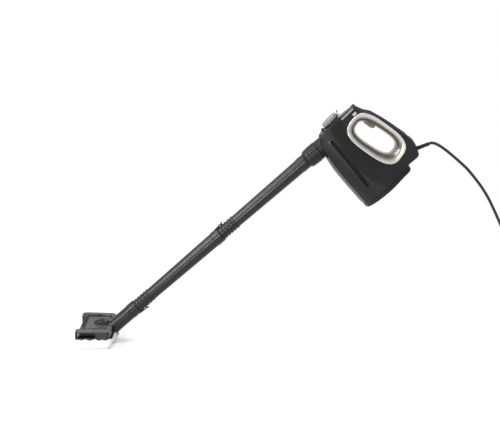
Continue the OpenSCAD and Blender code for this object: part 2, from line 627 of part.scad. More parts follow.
// Groove for a sealing ring at a place along X
module ring_seat(along) {
  lathe([[11.6, along - 1.3], [15, along - 1.3], [15, along + 1.3], [11.6, along + 1.3]]);
}
module nozzle_neck() {
  color("#3a3a3c") placed() difference() {
    union() {
      lathe([[0, spigot_end], [spigot_r, spigot_end], [spigot_r, 0.4], [22, 0.4], [22.5, 1.2], [22.5, 26], [0, 26]]);
      translate([20, 0, -14]) rotate([0, 90, 0]) cylinder(h = 6, r = 6);
    }
    translate([-200, 0, 0]) rotate([0, 90, 0]) cylinder(h = 216, r = steam_bore);
    translate([10, 0, -10]) rotate([0, 90, 0]) cylinder(h = 20, r = pipe_r);
    ring_seat(spigot_end + ring_groove);
  }
}
module lock_collar() {
  color("#2d2d2f") placed() difference() {
    lathe([[13.9, 0], [13.9, -collar_l], [19, -collar_l], [21, -36], [22.3, -33], [23, -26], [23, -24.5], [22.6, -24],
      [23.4, -23], [23.7, -18], [23.3, -17.5], [collar_r, -16], [collar_r, -10], [23.2, -9.5], [23.5, -8], [23.5, -1.2], [22.8, 0]]);
    for (k = [-1, 1]) translate([-7, k * 15 - 2, -2]) cube([10, 4, 4]);
  }
}
// Lever catch: place of its pin and of the slot in the socket that carries it
catch_at = [-7, 16.6];
catch_half_w = 5.8;
module socket_slot() {
  translate([-11, -catch_half_w - 0.4, 14.9]) cube([14, 2 * catch_half_w + 0.8, 8]);
  translate([catch_at[0], 12, catch_at[1]]) rotate([90, 0, 0]) cylinder(h = 24, r = 0.9);
}
ring_r = 16.6;
module tube() {
  first_ring = -tube_pitch + 5.8;
  rings = [for (k = [0:ring_count - 1]) let (u = first_ring + ring_pitch * k)
    for (q = [[ring_r, u - 2.2], [ring_r, u + 2.2], [tube_end_r, u + 2.7], [tube_end_r, u + 6.6 - 0.2]]) q];
  difference() {
    lathe(concat([[0, -tube_pitch - spigot_l], [spigot_r, -tube_pitch - spigot_l], [spigot_r, -tube_pitch],
      [tube_end_r, -tube_pitch], [tube_end_r, first_ring - 2.7]], rings,
      [[tube_top_r, -socket_l - 0.6], [socket_r, -socket_l], [socket_r, -0.8], [socket_r - 0.8, 0], [0, 0]]));
    translate([-400, 0, 0]) rotate([0, 90, 0]) cylinder(h = 500, r = steam_bore);
    translate([-spigot_l - 3, 0, 0]) rotate([0, 90, 0]) cylinder(h = 50, r = spigot_r + 0.3);
    ring_seat(-tube_pitch - spigot_l + ring_groove);
  }
}
upper_at = -collar_l;
lower_at = upper_at - tube_pitch;
neck_at = lower_at - tube_pitch;
module tube_upper() {
  color("#38383a") placed() translate([upper_at, 0, 0]) tube();
}
module tube_lower() {
  color("#38383a") placed() translate([lower_at, 0, 0]) difference() {
    tube();
    socket_slot();
  }
}
module tube_seals() {
  color("#1d1d1f") placed() for (u = [spigot_end, upper_at - tube_pitch - spigot_l, lower_at - tube_pitch - spigot_l])
    translate([u + ring_groove, 0, 0]) rotate([0, 90, 0]) rotate_extrude() translate([12.6, 0]) circle(r = 1, $fn = 16);
}
// Lever catch on top; its tooth holds behind the last ring of the tube above
module catch_lever() {
  lever = [[-9.4, 16], [-9.3, 17.2], [-8.6, 18.1], [0, 18.6], [10, 19.1], [17, 19.5], [20.2, 21], [20.8, 20.4],
    [17.8, 17.4], [3, 17.1], [2.6, 16.3], [1.3, 16.3], [0.6, 16.5], [-0.7, 15.6], [-7, 15.3], [-9, 15.5]];
  difference() {
    slab(lever, catch_half_w);
    translate([catch_at[0], 12, catch_at[1]]) rotate([90, 0, 0]) cylinder(h = 24, r = 0.95);
  }
}
module latch_upper() {
  color("#2a2a2c") placed() translate([lower_at, 0, 0]) catch_lever();
}
module latch_lower() {
  color("#2a2a2c") placed() translate([neck_at, 0, 0]) mirror([0, 0, 1]) catch_lever();
}
module latch_pins() {
  color("#b8bbc0") placed() union() {
    translate([lower_at + catch_at[0], 7.6, catch_at[1]]) rotate([90, 0, 0]) cylinder(h = 15.2, r = 0.9);
    translate([neck_at + catch_at[0], 7.6, -catch_at[1]]) rotate([90, 0, 0]) cylinder(h = 15.2, r = 0.9);
  }
}

// ---- Floor head, drawn about its pivot: X fore and aft on the floor, Z up ----
pivot_w = [neck_at - neck_l - 8.3, 0, 11.4];
head_at = placed_point(pivot_w);
module at_head() {
  translate(head_at) children();
}
module head_neck() {
  color("#38383a") union() {
    difference() {
      placed() difference() {
        translate([neck_at, 0, 0]) lathe([[0, -neck_l - 30], [tube_top_r, -neck_l - 30], [tube_top_r, -socket_l - 0.6],
          [socket_r, -socket_l], [socket_r, -0.8], [socket_r - 0.8, 0], [0, 0]]);
        translate([neck_at - neck_l + 20, 0, 0]) rotate([0, 90, 0]) cylinder(h = 200, r = steam_bore);
        translate([neck_at - neck_l - 30, 0, -6]) rotate([0, 90, 0]) cylinder(h = 60, r = 3.5);
        translate([neck_at - spigot_l - 3, 0, 0]) rotate([0, 90, 0]) cylinder(h = 50, r = spigot_r + 0.3);
        translate([neck_at, 0, 0]) mirror([0, 0, 1]) socket_slot();
      }
      at_head() rotate([0, -14, 0]) translate([-86.4, -50, -80]) cube([100, 100, 160]);
    }
    at_head() difference() {
      union() {
        rotate([90, 0, 0]) translate([0, 0, -8]) cylinder(h = 16, r = 7);
        translate([0, -8, -7]) cube([17.5, 16, 14]);
      }
      rotate([90, 0, 0]) translate([0, 0, -20]) cylinder(h = 40, r = 2.5);
    }
  }
}
module head_pin() {
  color("#b8bbc0") at_head() rotate([90, 0, 0]) translate([0, 0, -14]) cylinder(h = 28, r = 2.5);
}
head_mid = -21;
plate_z = [-9, 8];
plate_x = [head_mid - head_w / 2 + 4, head_mid + head_w / 2 - 4];
sole_z = [-21, -9];
notch_x = 5;
notch_half = 21;
// Box with its upright edges rounded
module round_box(x0, x1, half_y, z0, z1, r) {
  translate([0, 0, z0]) linear_extrude(z1 - z0) union() {
    translate([x0 + r, -half_y]) square([x1 - x0 - 2 * r, 2 * half_y]);
    translate([x0, -half_y + r]) square([x1 - x0, 2 * half_y - 2 * r]);
    for (x = [x0 + r, x1 - r]) for (y = [-half_y + r, half_y - r]) translate([x, y]) circle(r = r, $fn = 32);
  }
}
plate_half = head_l / 2 - 36.4;
screw_y = plate_half - 6.6;
HEAD_SCREWS = [[-53, -screw_y], [-53, screw_y], [9, -screw_y], [9, screw_y]];
hinge_y = plate_half + 7.4;
hinge_z = 6.2;
EARS = [[-50, 3.4], [-23, 3.4], [4, 3.4]];
module head_plate() {
  color("#4a4a4c") at_head() difference() {
    union() {
      difference() {
        union() {
          round_box(plate_x[0], plate_x[1], plate_half, plate_z[0], plate_z[1], 5);
          round_box(-46, 3, plate_half - 2.6, plate_z[1] - 1, plate_z[1] + 2, 6);
        }
        round_box(plate_x[0] + 2.5, plate_x[1] - 2.5, plate_half - 2.5, plate_z[0] - 1, plate_z[1] - 2.5, 3);
      }
      for (s = HEAD_SCREWS) translate([s[0], s[1], plate_z[0]]) cylinder(h = 15.5, r = 4.2);
      slab([[-44, 7.5], [-27, 9.6], [-16, 13.5], [-4, 17], [0, 17], [5, 12], [7, 5], [7, -5], [4, -8], [-30, -8], [-44, 5]], 14);
      rotate([90, 0, 0]) translate([0, 0, -14]) cylinder(h = 28, r = 8);
      for (k = [-1, 1]) translate([-11.5, k * 21 - 1.5, plate_z[0]]) cube([16, 3, 15]);
      for (e = EARS) for (k = [-1, 1]) translate([e[0], k * hinge_y, hinge_z]) rotate([0, 90, 0]) cylinder(h = e[1], r = 2.8);
      for (e = EARS) for (k = [-1, 1]) translate([e[0], k == 1 ? plate_half - 3 : -hinge_y, hinge_z - 2.8])
        cube([e[1], hinge_y - plate_half + 3, 5.6]);
    }
    translate([-8, -8.4, -20]) cube([60, 16.8, 50]);
    rotate([90, 0, 0]) translate([0, 0, -30]) cylinder(h = 60, r = 2.55);
    translate([notch_x, -notch_half, -30]) cube([60, 2 * notch_half, 38.5]);
    translate([notch_x, -80, 7.99]) cube([60, 160, 0.001]);
    for (k = [-1, 1]) translate([-100, k * hinge_y, hinge_z]) rotate([0, 90, 0]) cylinder(h = 200, r = 1.5);
    for (s = HEAD_SCREWS) translate([s[0], s[1], -20]) cylinder(h = 60, r = 1.5);
    for (s = HEAD_SCREWS) translate([s[0], s[1], plate_z[1] - 1.6]) cylinder(h = 10, r = 2.9);
  }
}
module head_screws() {
  color("#2f2f31") at_head() for (s = HEAD_SCREWS) translate([s[0], s[1], 0]) difference() {
    union() {
      translate([0, 0, -17]) cylinder(h = 24, r = 1.5);
      translate([0, 0, plate_z[1] - 1.6]) cylinder(h = 2, r = 2.9);
    }
    rotate(20) translate([-4, -0.4, plate_z[1] - 0.5]) cube([8, 0.8, 3]);
  }
}
sole_x = [head_mid - head_w / 2, head_mid + head_w / 2];
sole_half = head_l / 2 - 6;
module head_sole() {
  color("#3a3a3c") at_head() difference() {
    union() {
      difference() {
        round_box(sole_x[0], sole_x[1], sole_half, sole_z[0], sole_z[1], 12);
        round_box(sole_x[0] + 3, sole_x[1] - 3, sole_half - 3, sole_z[0] + 3, sole_z[1] + 5, 9);
      }
      for (s = HEAD_SCREWS) translate([s[0], s[1], sole_z[0] + 1]) cylinder(h = 11, r = 4.2);
      translate([notch_x - 3, -notch_half - 3, sole_z[0]]) cube([sole_x[1] - notch_x + 2, 2 * notch_half + 6, 12]);
      for (k = [-1, 1]) translate([sole_x[0] + 2, k * (plate_half - 2.4) - 1.5, sole_z[0] + 1]) cube([head_w - 4, 3, 11]);
    }
    translate([notch_x, -notch_half, -60]) cube([60, 2 * notch_half, 100]);
    translate([-8, -9, -15]) cube([60, 18, 30]);
    for (s = HEAD_SCREWS) translate([s[0], s[1], sole_z[0] + 3]) cylinder(h = 30, r = 1.5);
    for (x = [-50, -20]) for (y = [-60, -36, -12, 12, 36, 60]) translate([x, y, -40]) cylinder(h = 30, r = 2);
  }
}
// Closed bag: rings of equal length from one pole to the other
module bag(rings, first, last) {
  m = len(rings[0]);
  n = len(rings);
  function id(i, j) = 1 + i * m + (j % m);
  polyhedron(
    concat([first], [for (r = rings) for (p = r) p], [last]),
    concat(
      [for (j = [0:m - 1]) [0, id(0, j + 1), id(0, j)]],
      [for (i = [0:n - 2], j = [0:m - 1])
        for (t = [[id(i, j), id(i + 1, j + 1), id(i + 1, j)], [id(i, j), id(i, j + 1), id(i + 1, j + 1)]]) t],
      [for (j = [0:m - 1]) [n * m + 1, id(n - 1, j), id(n - 1, j + 1)]]
    )
  );
}
// One ring of a rounded box outline, with a place for soft waves
function pad_ring(half_x, half_y, r, z, wave) = let (
    corner = function (sx, sy, from) [for (k = [0:6]) let (a = from + 15 * k)
      [sx * (half_x - r) + r * cos(a), sy * (half_y - r) + r * sin(a)]],
    flat = concat(corner(1, 1, 0), [for (k = [-1:1]) [-k * half_x * 0.3, half_y]],
      corner(-1, 1, 90), [for (k = [-4:4]) [-half_x, -k * half_y * 0.17]],
      corner(-1, -1, 180), [for (k = [-1:1]) [k * half_x * 0.3, -half_y]],
      corner(1, -1, 270), [for (k = [-4:4]) [half_x, k * half_y * 0.17]]))
  [for (k = [0:len(flat) - 1]) let (p = flat[k], push = wave * sin(113 * k))
    [head_mid + p[0] * (1 + push / half_x), p[1] * (1 + push / half_y), z]];
cloth_gap = 0.4;
module cloth_pad() {
  hx = head_w / 2;
  hy = sole_half;
  under = sole_z[0] - cloth_gap;
  rings = [
    pad_ring(hx * 0.5, hy * 0.6, 9, under, 0), pad_ring(hx + cloth_gap, hy + cloth_gap, 12, under, 0),
    pad_ring(hx + cloth_gap, hy + cloth_gap, 12, -15, 0), pad_ring(hx + cloth_gap, hy + cloth_gap, 12, -9.5, 0),
    pad_ring(hx + 3.4, hy + 3.6, 15, -9.2, 0.3), pad_ring(hx + 6, hy + 7, 17, -13, 0.5),
    pad_ring(hx + 7, hy + 8, 18, -19, 0.6), pad_ring(hx + 6.4, hy + 7.2, 18, -25, 0.7),
    pad_ring(hx + 3, hy + 4, 16, sole_z[0] - cloth_t + 1.5, 0.4), pad_ring(hx - 3, hy - 3, 12, sole_z[0] - cloth_t, 0),
    pad_ring(hx * 0.5, hy * 0.6, 9, sole_z[0] - cloth_t, 0)
  ];
  color("#f3f2ee") at_head() difference() {
    bag(rings, [head_mid, 0, under], [head_mid, 0, sole_z[0] - cloth_t]);
    translate([notch_x - cloth_gap, -notch_half - cloth_gap, -60]) cube([60, 2 * (notch_half + cloth_gap), 100]);
  }
}
KNUCKLES = [[-46.2, 6], [-13, 6], [-2.4, 6]];
clamp_inner = plate_half + 1.2;
module clamp_pins() {
  color("#b8bbc0") at_head() for (k = [-1, 1]) translate([-50, k * hinge_y, hinge_z]) rotate([0, 90, 0]) cylinder(h = 57.4, r = 1.5);
}
module clamp_springs() {
  color("#b8bbc0") at_head() for (k = [-1, 1])
    sweep(spring_points([-37, k * hinge_y, hinge_z], 8, 2.25, 5), 0.38, 6);
}
// Clamp on the near side: hollow cover hinged beside the plate, with a finger window
module clamp_cover(far) {
  outer = clamp_inner + clamp_l;
  top = plate_z[1] + 2;
  difference() {
    union() {
      difference() {
        intersection() {
          round_box(-66, 17, outer, -8, top, far ? 14 : 8);
          translate([-90, -outer - 1, -20]) cube([140, outer + 1 - clamp_inner, 60]);
        }
        intersection() {
          round_box(-63, 14, outer - 3, -20, top - 3, far ? 11 : 6);
          translate([-90, -outer - 1, -20]) cube([140, outer + 2 - clamp_inner, 60]);
        }
        translate([-90, 1 - hinge_y, -20]) cube([140, 20, 20 + top - 3]);
        translate([-90, -hinge_y, hinge_z]) rotate([0, 90, 0]) cylinder(h = 140, r = 3.3);
      }
      for (q = KNUCKLES) translate([q[0], -hinge_y, hinge_z]) rotate([0, 90, 0]) cylinder(h = q[1], r = 2.8);
      for (q = KNUCKLES) translate([q[0], -hinge_y - 6, hinge_z + 0.8]) cube([q[1], 6, 2.6]);
    }
    translate([-90, -hinge_y, hinge_z]) rotate([0, 90, 0]) cylinder(h = 140, r = 1.55);
    for (e = EARS) translate([e[0] - 0.3, -hinge_y - 3.4, -10]) cube([e[1] + 0.6, 20, 40]);
    translate([-60, -outer - 5, -4]) cube([43, 8.4, 11]);
  }
}
module clamp_tab() {
  outer = clamp_inner + clamp_l;
  translate([-14, -outer - 1.6, -7.4]) cube([25, 3.6, 15.8]);
}
module clamp_near() {
  color("#3e3e40") at_head() union() {
    clamp_cover(false);
    clamp_tab();
  }
}
module clamp_far() {
  color("#3e3e40") at_head() mirror([0, 1, 0]) union() {
    clamp_cover(true);
    clamp_tab();
  }
}

// ---- Mains lead ----
module terminal_block() {
  color("#e6e2d6") placed() difference() {
    union() {
      translate([144, -9, -159]) cube([17, 18, 11]);
      translate([150, -8, shell_bottom + shell_wall + 0.6]) cube([5, 16, 8]);
    }
    for (y = [-5, 0, 5]) translate([140, y, -155.5]) rotate([0, 90, 0]) cylinder(h = 30, r = 1.4);
    for (y = [-5, 0, 5]) for (u = [148, 157]) translate([u, y, -154]) cylinder(h = 10, r = 1.1);
  }
}
module cord_clamp() {
  color("#d8d4c8") placed() difference() {
    union() {
      at_relief() translate([-6, -7, -6]) cube([12, 14, 5.8]);
      translate([162.6, -5, shell_bottom + shell_wall + 0.6]) cube([3.4, 10, 14]);
    }
    at_relief() translate([0, 0, -20]) cylinder(h = 40, r = lead_d / 2);
    for (y = [-1, 1]) at_relief() translate([-12, y * 5.3, -3]) rotate([0, 90, 0]) cylinder(h = 20, r = 1);
  }
}
module strain_relief() {
  color("#2c2c2e") placed() at_relief() difference() {
    union() {
      cylinder(h = 2, r = relief_seat_r + 1.2);
      translate([0, 0, 1]) cylinder(h = relief_l - 1, r1 = relief_seat_r, r2 = 4.3);
      translate([0, 0, relief_l - 3]) cylinder(h = 3, r = 4.9);
    }
    translate([0, 0, -1]) cylinder(h = relief_l - 6, r = lead_d / 2);
  }
}
lead_r = lead_d / 2;
relief_tip = placed_point([relief_at[0] + relief_l * cos(relief_slope), 0, relief_at[1] + relief_l * sin(relief_slope)]);
relief_way = [cos(lean + relief_slope), 0, sin(lean + relief_slope)];
floor_z = head_at[2] + sole_z[0] - cloth_t;
tie_t = 1.2;
step = lead_d * coil_step;
layers = 4;
coil_out = coil_r + coil_turns * step;
coil_at = [520, 0, floor_z + tie_t + lead_r];
coil_start = coil_at + [0, -coil_out, 0];
RUN = [
  relief_tip, relief_tip + 3.5 * relief_way, relief_tip + 7 * relief_way, [119, 0, -40.6], [131, 0, -47], [141, 0, -54], [151, 0, -61.5],
  [175, 0, -82], [202, 0, -108], [240, 0, -158], [272, 0, -220], [306, -2, -300], [342, -8, -380], [385, -18, -450],
  [435, -32, -498], [472, -coil_out + 7, coil_start[2] + 7],
  coil_start - [21, 0, 0], coil_start - [14, 0, 0], coil_start - [7.05, 0, 0]
];
function path_length(p) = len(p) < 2 ? 0 : let (d = [for (i = [1:len(p) - 1]) norm(p[i] - p[i - 1])]) total(d, 0);
function total(d, i) = i >= len(d) ? 0 : d[i] + total(d, i + 1);
run_points = spline(RUN, 4);
module cord_run() {
  color("#26262a") sweep(run_points, lead_r, 10);
}
// Coil point: t counts turns from the start on the near side
layer_turns = coil_turns + 0.5;
coil_total = layers * coil_turns + (layers - 1) * 0.5;
function coil_point(t) =
  let (layer = min(layers - 1, floor(t / layer_turns)), q = t - layer * layer_turns,
       inward = layer % 2 == 0, climb = max(0, q - coil_turns) * 2,
       r0 = inward ? coil_out - step * min(q, coil_turns) : coil_r + step * min(q, coil_turns),
       r = r0 + (inward ? -1 : 1) * 2 * sin(180 * climb), a = -90 + 360 * t)
  coil_at + [r * cos(a), r * sin(a), step * (layer + climb)];
coil_steps = floor(coil_total * 22);
coil_end = coil_point(coil_total);
plug_t = 22;
plug_lead_z = floor_z + 11;
TAIL = [coil_end, coil_end + [-7, 0, 0], coil_end + [-28, 4, -6], coil_end + [-50, 10, -14],
  [coil_end[0] - 64, coil_end[1] + 12, plug_lead_z], [coil_end[0] - 71, coil_end[1] + 12, plug_lead_z], [coil_end[0] - 78, coil_end[1] + 12, plug_lead_z]];
coil_points = concat([coil_start - [7, 0, 0]], [for (k = [0:coil_steps - 1]) coil_point(coil_total * k / coil_steps)], spline(TAIL, 4));
module cord_coil() {
  color("#26262a") sweep(coil_points, lead_r, 6);
}
module cord_tie() {
  low = coil_r - 2 - lead_r - 0.8;
  wide = coil_out + lead_r + 1.2 - low;
  high = step * (layers - 1) + lead_d + 0.8;
  color("#d0cfca") translate([coil_at[0] + low, -5, floor_z + 0.1]) difference() {
    translate([-tie_t, 0, 0]) cube([wide + 2 * tie_t, 10, high + 1.8 * tie_t]);
    translate([0, -1, tie_t - 0.4]) cube([wide, 12, high]);
  }
}
plug_end = [coil_end[0] - 78, coil_end[1] + 12, plug_lead_z];
module at_plug() {
  translate([plug_end[0], plug_end[1], floor_z + 0.1]) children();
}
module plug_body() {
  color("#2b2b2e") at_plug() union() {
    translate([0, 0, plug_lead_z - floor_z - 0.1]) rotate([0, -90, 0]) cylinder(h = 14, r = 5.5);
    translate([-12, 0, 0]) mirror([1, 0, 0]) linear_extrude(plug_t)
      polygon([[0, -14], [6, -22], [12, -25], [30, -25], [40, -21], [47, -12], [48, 0], [47, 12], [40, 21], [30, 25], [12, 25], [6, 22], [0, 14]]);
  }
}
module plug_pins() {
  color("#c7a55a") at_plug() translate([-12, 0, plug_t]) union() {
    for (y = [-11.1, 11.1]) translate([-17, y - 3.2, 0]) cube([4, 6.4, 17.7]);
    translate([-41.2, -2, 0]) cube([8, 4, 22.7]);
  }
}

module least_gap() {
  n = len(coil_points);
  gaps = [for (i = [0:2:n - 1]) for (j = [i + 12:n - 1]) norm(coil_points[i] - coil_points[j]) - lead_d];
  echo(least_gap = min(gaps), rings = n, run = len(run_points), coil_mm = path_length(coil_points), run_mm = path_length(run_points));
}

least_gap();
shell_left();
shell_right();
front_panel();
top_cover();
base_pan();
grip_strip();
ring_trim_left();
ring_trim_right();
side_bars();
pilot_lens();
pilot_lamp();
boiler_tank();
boiler_lid();
boiler_seal();
boiler_bolts();
heating_element();
thermostat();
thermal_cutout();
filler_pipe();
steam_pipes();
valve_body();
valve_spring();
nozzle_neck();
tube_seals();
housing_screws();
terminal_block();
cord_clamp();
strain_relief();
cord_run();
cord_coil();
cord_tie();
plug_body();
plug_pins();
tube_upper();
tube_lower();
head_neck();
latch_pins();
trigger_pin();
head_pin();
trigger();
valve_rod();
valve_seal();
cap_tether();
cap_grip();
cap_plug();
cap_seal();
lock_collar();
latch_upper();
latch_lower();
head_plate();
head_sole();
head_screws();
cloth_pad();
clamp_pins();
clamp_springs();
clamp_near();
clamp_far();
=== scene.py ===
"""Dressed model of a handheld steam cleaner: jug-shaped boiler unit, two extension tubes, tilting floor
head with a clipped cloth, and a mains lead with its plug.

Sizes are millimetres in the wand frame (X up along the tubes, Z = 0 on their axis) or about the head's
pivot; wand() and head() turn them into metres in the part's own frame.
"""

from __future__ import annotations

import json
import logging
import math
from dataclasses import dataclass, field
from enum import Enum

import bmesh
import bpy
import numpy as np
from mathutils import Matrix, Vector

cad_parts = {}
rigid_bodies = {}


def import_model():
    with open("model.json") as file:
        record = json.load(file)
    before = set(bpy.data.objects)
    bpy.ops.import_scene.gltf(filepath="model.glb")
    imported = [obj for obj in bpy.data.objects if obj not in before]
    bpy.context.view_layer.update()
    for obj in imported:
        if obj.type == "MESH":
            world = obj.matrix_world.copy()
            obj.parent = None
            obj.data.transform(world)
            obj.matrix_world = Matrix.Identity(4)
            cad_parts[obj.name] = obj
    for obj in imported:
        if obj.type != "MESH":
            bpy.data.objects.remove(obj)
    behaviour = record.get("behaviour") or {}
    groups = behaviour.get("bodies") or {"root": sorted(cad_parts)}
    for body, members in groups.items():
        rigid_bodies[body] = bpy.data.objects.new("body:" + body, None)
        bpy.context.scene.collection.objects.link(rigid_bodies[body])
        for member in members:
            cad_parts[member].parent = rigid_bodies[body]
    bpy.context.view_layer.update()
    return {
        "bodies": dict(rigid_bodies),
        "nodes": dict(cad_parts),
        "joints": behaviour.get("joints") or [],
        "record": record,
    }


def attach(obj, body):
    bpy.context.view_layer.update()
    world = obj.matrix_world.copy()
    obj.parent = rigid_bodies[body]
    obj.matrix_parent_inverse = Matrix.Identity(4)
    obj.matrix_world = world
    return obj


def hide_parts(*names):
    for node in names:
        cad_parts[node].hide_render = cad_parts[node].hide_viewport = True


LOG = logging.getLogger("steamer")
MM = 0.001
MERGE = 2e-6
LEAN = math.radians(41.1)
GRIP_ALONG = 156.0
GRIP_BELOW = 62.5
HEAD_AT = np.array([-672.003, 0.0, -488.158])
FLOOR_Z = -520.158

Array = np.ndarray
Piece = bpy.types.Object


# ---- Frames and surfaces ----


def wand(points: Array) -> Array:
    """Turns wand-frame millimetres into metres in the part's frame: x' = (x-a)cosL - (z+b)sinL and
    z' = (x-a)sinL + (z+b)cosL."""
    c, s = math.cos(LEAN), math.sin(LEAN)
    x, z = points[..., 0] - GRIP_ALONG, points[..., 2] + GRIP_BELOW
    return np.stack([x * c - z * s, points[..., 1], x * s + z * c], -1) * MM


def head(points: Array) -> Array:
    """Turns millimetres about the head's pivot into metres in the part's frame."""
    return (points + HEAD_AT) * MM


def smooth_step(x: Array) -> Array:
    """0 below 0, 1 above 1, and 3x^2 - 2x^3 between."""
    t = np.clip(x, 0.0, 1.0)
    return t * t * (3 - 2 * t)


def along_table(rows: list[tuple[float, float]], x: Array) -> Array:
    """Reads a table of (place, value) rows, averaged over 9 mm each side: (f(x-9) + 2f(x) + f(x+9)) / 4."""
    table = np.array(rows, float)
    value = [np.interp(np.asarray(x) + shift, table[:, 0], table[:, 1]) for shift in (-9, 0, 0, 9)]
    return sum(value) / 4


def monotone(rows: Array, per: int) -> Array:
    """Closed smooth curve through rows that never overshoots them, with per samples a row: between two
    rows it is the cubic with harmonic-mean slopes at both ends."""
    step = np.roll(rows, -1, 0) - rows
    back = np.roll(step, 1, 0)
    same = step * back > 0
    slope = np.where(same, 2 * step * back / np.where(same, step + back, 1.0), 0.0)
    t = (np.arange(per) / per)[None, :, None]
    a, b = rows[:, None], np.roll(rows, -1, 0)[:, None]
    m, n = slope[:, None], np.roll(slope, -1, 0)[:, None]
    curve = (2 * t**3 - 3 * t**2 + 1) * a + (3 * t**2 - 2 * t**3) * b
    curve = curve + (t**3 - 2 * t**2 + t) * m + (t**3 - t**2) * n
    return curve.reshape(-1, rows.shape[1])


def catmull(rows: Array, per: int) -> Array:
    """Open Catmull-Rom curve through rows: each piece uses the two rows round it and their neighbours."""
    p = np.vstack([rows[:1], rows, rows[-1:]])
    t = (np.arange(per) / per)[None, :, None]
    a, b, c, d = (p[k : len(p) - 3 + k, None] for k in range(4))
    curve = 0.5 * (2 * b + (c - a) * t + (2 * a - 5 * b + 4 * c - d) * t**2 + (3 * b - a - 3 * c + d) * t**3)
    return np.vstack([curve.reshape(-1, 3), rows[-1:]])


def grid_faces(rows: int, columns: int, wrap_rows: bool = False, wrap_columns: bool = False) -> Array:
    """Four-sided faces of a grid of rows x columns points, closed round either way if asked."""
    i = np.arange(rows if wrap_rows else rows - 1)[:, None]
    j = np.arange(columns if wrap_columns else columns - 1)[None, :]
    down, right = (i + 1) % rows, (j + 1) % columns
    corners = [i * columns + j, i * columns + right, down * columns + right, down * columns + j]
    return np.stack(np.broadcast_arrays(*corners), -1).reshape(-1, 4)


def rounded(outline: list[tuple[float, ...]], radius: float, steps: int = 4, closed: bool = False) -> Array:
    """Outline with each corner c rounded by a(1-t)^2 + 2c t(1-t) + b t^2, in steps pieces.

    a and b lie a radius away from c, or less on a short side; closed joins the last corner to the first."""
    p = np.array(outline, float)
    n = len(p)
    t = np.linspace(0, 1, steps + 1)[:, None]
    out = [] if closed else [p[:1]]
    for i in range(0 if closed else 1, n if closed else n - 1):
        c, before, after = p[i], p[i - 1], p[(i + 1) % n]
        la, lb = np.linalg.norm(before - c), np.linalg.norm(after - c)
        r = min(radius, 0.45 * la, 0.45 * lb)
        a, b = c + (before - c) * r / la, c + (after - c) * r / lb
        out.append(a * (1 - t) ** 2 + 2 * c * t * (1 - t) + b * t**2)
    return np.vstack(out if closed else out + [p[-1:]])


def piece(name: str, points: Array, faces: Array | list[list[int]], outside: Array | None = None) -> Piece:
    """Object of a surface: points in metres, faces as corner numbers, doubles merged, faces outward. The
    faces of an open surface look towards the place given as outside."""
    mesh = bpy.data.meshes.new(name)
    mesh.from_pydata(points.reshape(-1, 3).tolist(), [], [list(face) for face in faces])
    obj = bpy.data.objects.new(name, mesh)
    bpy.context.scene.collection.objects.link(obj)
    bm = bmesh.new()
    bm.from_mesh(mesh)
    bmesh.ops.remove_doubles(bm, verts=bm.verts, dist=MERGE)
    bmesh.ops.recalc_face_normals(bm, faces=bm.faces)
    if outside is not None:
        seen = sum((Vector(outside) - f.calc_center_median()).dot(f.normal) * f.calc_area() for f in bm.faces)
        if seen < 0:
            bmesh.ops.reverse_faces(bm, faces=bm.faces)
    bm.to_mesh(mesh)
    bm.free()
    mesh.shade_smooth()
    mesh.set_sharp_from_angle(angle=math.radians(42))
    return obj


def settle(obj: Piece, wall: float = 0.0, edge: float = 0.0, segments: int = 2, limit: float = 40.0) -> Piece:
    """Gives a piece its wall inside the surface and rounded edges, both in mm, as part of its mesh. An edge
    sharper than limit degrees is rounded in segments steps."""
    if wall:
        mod = obj.modifiers.new("wall", "SOLIDIFY")
        mod.thickness, mod.offset = wall * MM, -1.0
    if edge:
        mod = obj.modifiers.new("edge", "BEVEL")
        mod.width, mod.segments, mod.limit_method = edge * MM, segments, "ANGLE"
        mod.angle_limit, mod.use_clamp_overlap, mod.miter_outer = math.radians(limit), False, "MITER_ARC"
    mod = obj.modifiers.new("normals", "WEIGHTED_NORMAL")
    mod.keep_sharp = True
    bpy.context.view_layer.update()
    done = bpy.data.meshes.new_from_object(obj.evaluated_get(bpy.context.evaluated_depsgraph_get()))
    obj.modifiers.clear()
    obj.data = done
    return obj


def sheet(name: str, points: Array, outside: Array, wall: float, edge: float = 0.0) -> Piece:
    """Open sheet over a grid of points in metres, looking towards outside, with its wall and edges in mm."""
    return settle(piece(name, points, grid_faces(*points.shape[:2]), outside), wall=wall, edge=edge, limit=50)


def lathe(name: str, profile: Array, origin: Array, axis: Array, turns: int = 96) -> Piece:
    """Surface of revolution: each [radius, along] row of the profile, in mm, is a ring about the axis,
    which starts at the origin, in metres."""
    way = np.array(axis, float) / np.linalg.norm(axis)
    side = np.cross(way, [0.0, 1.0, 0.0] if abs(way[1]) < 0.9 else [1.0, 0.0, 0.0])
    side /= np.linalg.norm(side)
    up = np.cross(way, side)
    a = np.linspace(0, 2 * np.pi, turns, endpoint=False)
    ring = np.cos(a)[:, None] * side + np.sin(a)[:, None] * up
    r, x = profile[:, 0, None, None] * MM, profile[:, 1, None, None] * MM
    points = np.asarray(origin) + x * way + r * ring[None]
    closed = np.allclose(profile[0], profile[-1])
    if closed:
        points = points[:-1]
    return piece(name, points, grid_faces(len(points), turns, closed, True))


